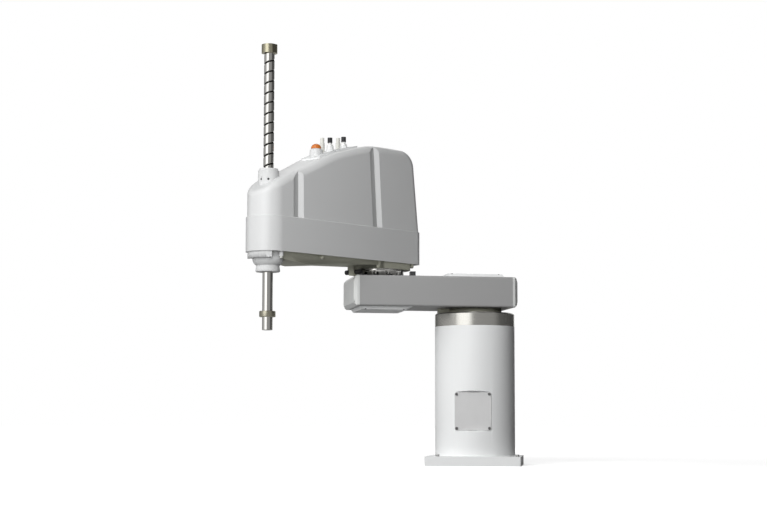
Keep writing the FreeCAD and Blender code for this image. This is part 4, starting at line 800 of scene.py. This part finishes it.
def lay_floor():
    """Pale floor that looks white and keeps the object's shadow. Its own glow grows with the
    distance from the object, as the lamps reach less of it there."""
    mesh = bpy.data.meshes.new("floor")
    far_side = FLOOR_HALF
    mesh.from_pydata([(-far_side, -far_side, 0), (far_side, -far_side, 0),
                      (far_side, far_side, 0), (-far_side, far_side, 0)], [], [(0, 1, 2, 3)])
    floor = bpy.data.objects.new("floor", mesh)
    bpy.context.scene.collection.objects.link(floor)
    material = bpy.data.materials.new("studio floor")
    material.use_nodes = True
    tree = material.node_tree
    shader = tree.nodes["Principled BSDF"]
    shader.inputs["Roughness"].default_value = 0.9
    shader.inputs["Specular IOR Level"].default_value = 0.0
    direct = ray_is(tree, "Camera", "Transmission")
    mirrored = math_node(tree, "MULTIPLY", ray_is(tree, "Glossy"), MIRRORED_FLOOR)
    colour = mixed(tree, direct, FLOOR_UNSEEN, FLOOR_SEEN)
    tree.links.new(colour, shader.inputs["Base Color"])
    shader.inputs["Emission Color"].default_value = WHITE
    place = tree.nodes.new("ShaderNodeTexCoord")
    away = tree.nodes.new("ShaderNodeVectorMath")
    away.operation = "LENGTH"
    tree.links.new(place.outputs["Object"], away.inputs[0])
    far = tree.nodes.new("ShaderNodeMapRange")
    far.inputs["From Min"].default_value, far.inputs["From Max"].default_value = FLOOR_FADE
    far.inputs["To Min"].default_value, far.inputs["To Max"].default_value = FLOOR_GLOW
    tree.links.new(away.outputs["Value"], far.inputs["Value"])
    seen = math_node(tree, "MAXIMUM", direct, mirrored)
    tree.links.new(math_node(tree, "MULTIPLY", seen, far.outputs["Result"]),
                   shader.inputs["Emission Strength"])
    mesh.materials.append(material)


def area_light(name, place, target, width, height, power):
    """Rectangular soft light aimed at a point. Metal mirrors the bright walls in its place."""
    data = bpy.data.lights.new(name, "AREA")
    data.shape = "RECTANGLE"
    data.size, data.size_y = width, height
    data.energy = power
    lamp = bpy.data.objects.new(name, data)
    lamp.visible_glossy = False
    lamp.visible_camera = False
    bpy.context.scene.collection.objects.link(lamp)
    back = np.asarray(place, float) - np.asarray(target, float)
    back /= np.linalg.norm(back)
    side = np.cross((0.0, 0.0, 1.0), back)
    side /= np.linalg.norm(side)
    up = np.cross(back, side)
    turn = Matrix((side.tolist(), up.tolist(), back.tolist())).transposed().to_4x4()
    lamp.matrix_world = Matrix.Translation(place) @ turn
    return lamp


def light_room(stage):
    """Upright soft light at the left front, weaker ones at the left, behind and overhead, and
    a room that is white behind the object and has bright and dark walls where metal mirrors it."""
    for name, (place, target, width, height) in LAMPS.items():
        area_light(name + " light", place, target, width, height,
                   getattr(stage, name + "_power"))
    world = bpy.data.worlds.new("studio")
    bpy.context.scene.world = world
    world.use_nodes = True
    tree = world.node_tree
    background = tree.nodes["Background"]
    direct = ray_is(tree, "Camera", "Transmission")
    mirrored = mixed(tree, ray_is(tree, "Glossy"), (stage.room,) * 3 + (1.0,), walls(tree))
    tree.links.new(mixed(tree, direct, mirrored, WHITE), background.inputs["Color"])


def walls(tree):
    """Brightness of the room's walls by the angle round the object, from the camera's side
    towards the right."""
    place = tree.nodes.new("ShaderNodeTexCoord")
    split = tree.nodes.new("ShaderNodeSeparateXYZ")
    tree.links.new(place.outputs["Generated"], split.inputs[0])
    front = math_node(tree, "MULTIPLY", split.outputs[1], -1.0)
    turn = math_node(tree, "ARCTAN2", split.outputs[0], front)
    share = math_node(tree, "ADD", math_node(tree, "DIVIDE", turn, 2 * math.pi), 0.5)
    ramp = tree.nodes.new("ShaderNodeValToRGB")
    tree.links.new(share, ramp.inputs["Fac"])
    stops = ramp.color_ramp.elements
    for index, (degrees, level) in enumerate(WALLS):
        if index >= len(stops):
            stops.new(1.0)
        stops[index].position = degrees / 360.0 + 0.5
        stops[index].color = (level, level, level, 1.0)
    return ramp.outputs["Color"]


def place_camera(scene):
    """Camera at the photograph's place, level line and focal length."""
    data = bpy.data.cameras.new("camera")
    data.sensor_width = SENSOR_MM
    data.lens = FOCAL_PIXELS / IMAGE_WIDTH * SENSOR_MM
    data.clip_start, data.clip_end = CAMERA_CLIP
    camera = bpy.data.objects.new("camera", data)
    scene.collection.objects.link(camera)
    turn = CAMERA_AZIMUTH + CAMERA_YAW
    forward = np.array([-math.sin(turn) * math.cos(CAMERA_TILT),
                        math.cos(turn) * math.cos(CAMERA_TILT), math.sin(CAMERA_TILT)])
    right = np.cross(forward, (0.0, 0.0, 1.0))
    right /= np.linalg.norm(right)
    up = np.cross(right, forward)
    c, s = math.cos(CAMERA_ROLL), math.sin(CAMERA_ROLL)
    right, up = right * c + up * s, up * c - right * s
    axes = Matrix((right.tolist(), up.tolist(), (-forward).tolist())).transposed().to_4x4()
    place = (CAMERA_FAR * math.sin(CAMERA_AZIMUTH), -CAMERA_FAR * math.cos(CAMERA_AZIMUTH),
             CAMERA_HIGH)
    camera.matrix_world = Matrix.Translation(place) @ axes
    scene.camera = camera


class RobotPanel(bpy.types.Panel):
    """Sizes, colours and steps of the robot"""
    bl_idname = "VIEW3D_PT_robot"
    bl_label = "Robot"
    bl_space_type = "VIEW_3D"
    bl_region_type = "UI"
    bl_category = "Robot"

    def draw(self, context):
        for owner in (context.scene.robot_sizes, context.scene.robot_colours,
                      context.scene.robot_stage):
            for key in owner.bl_rna.properties.keys():
                if key not in ("rna_type", "name"):
                    self.layout.prop(owner, key)
        for step in STEPS:
            self.layout.operator(step.bl_idname)


STEPS = (PaintColumn, FinishFirstJoint, PaintFirstArm, FinishSecondJoint, PaintSecondArm,
         FinishDrives, FinishNose, MakeShaft, FinishScrews, FinishLamp, FinishFittings, SetStage)
CLASSES = (RobotSizes, RobotColours, StageSettings) + STEPS + (RobotPanel,)


def register():
    """Register the classes and hang the settings on the scene."""
    for item in CLASSES:
        bpy.utils.register_class(item)
    bpy.types.Scene.robot_sizes = bpy.props.PointerProperty(type=RobotSizes)
    bpy.types.Scene.robot_colours = bpy.props.PointerProperty(type=RobotColours)
    bpy.types.Scene.robot_stage = bpy.props.PointerProperty(type=StageSettings)


def unregister():
    """Take the settings and classes away again."""
    del bpy.types.Scene.robot_stage
    del bpy.types.Scene.robot_colours
    del bpy.types.Scene.robot_sizes
    for item in reversed(CLASSES):
        bpy.utils.unregister_class(item)


def main():
    """Register the classes and build the scene step by step."""
    register()
    for step in STEPS:
        family, name = step.bl_idname.split(".")
        getattr(getattr(bpy.ops, family), name)()


if __name__ == "__main__":
    main()
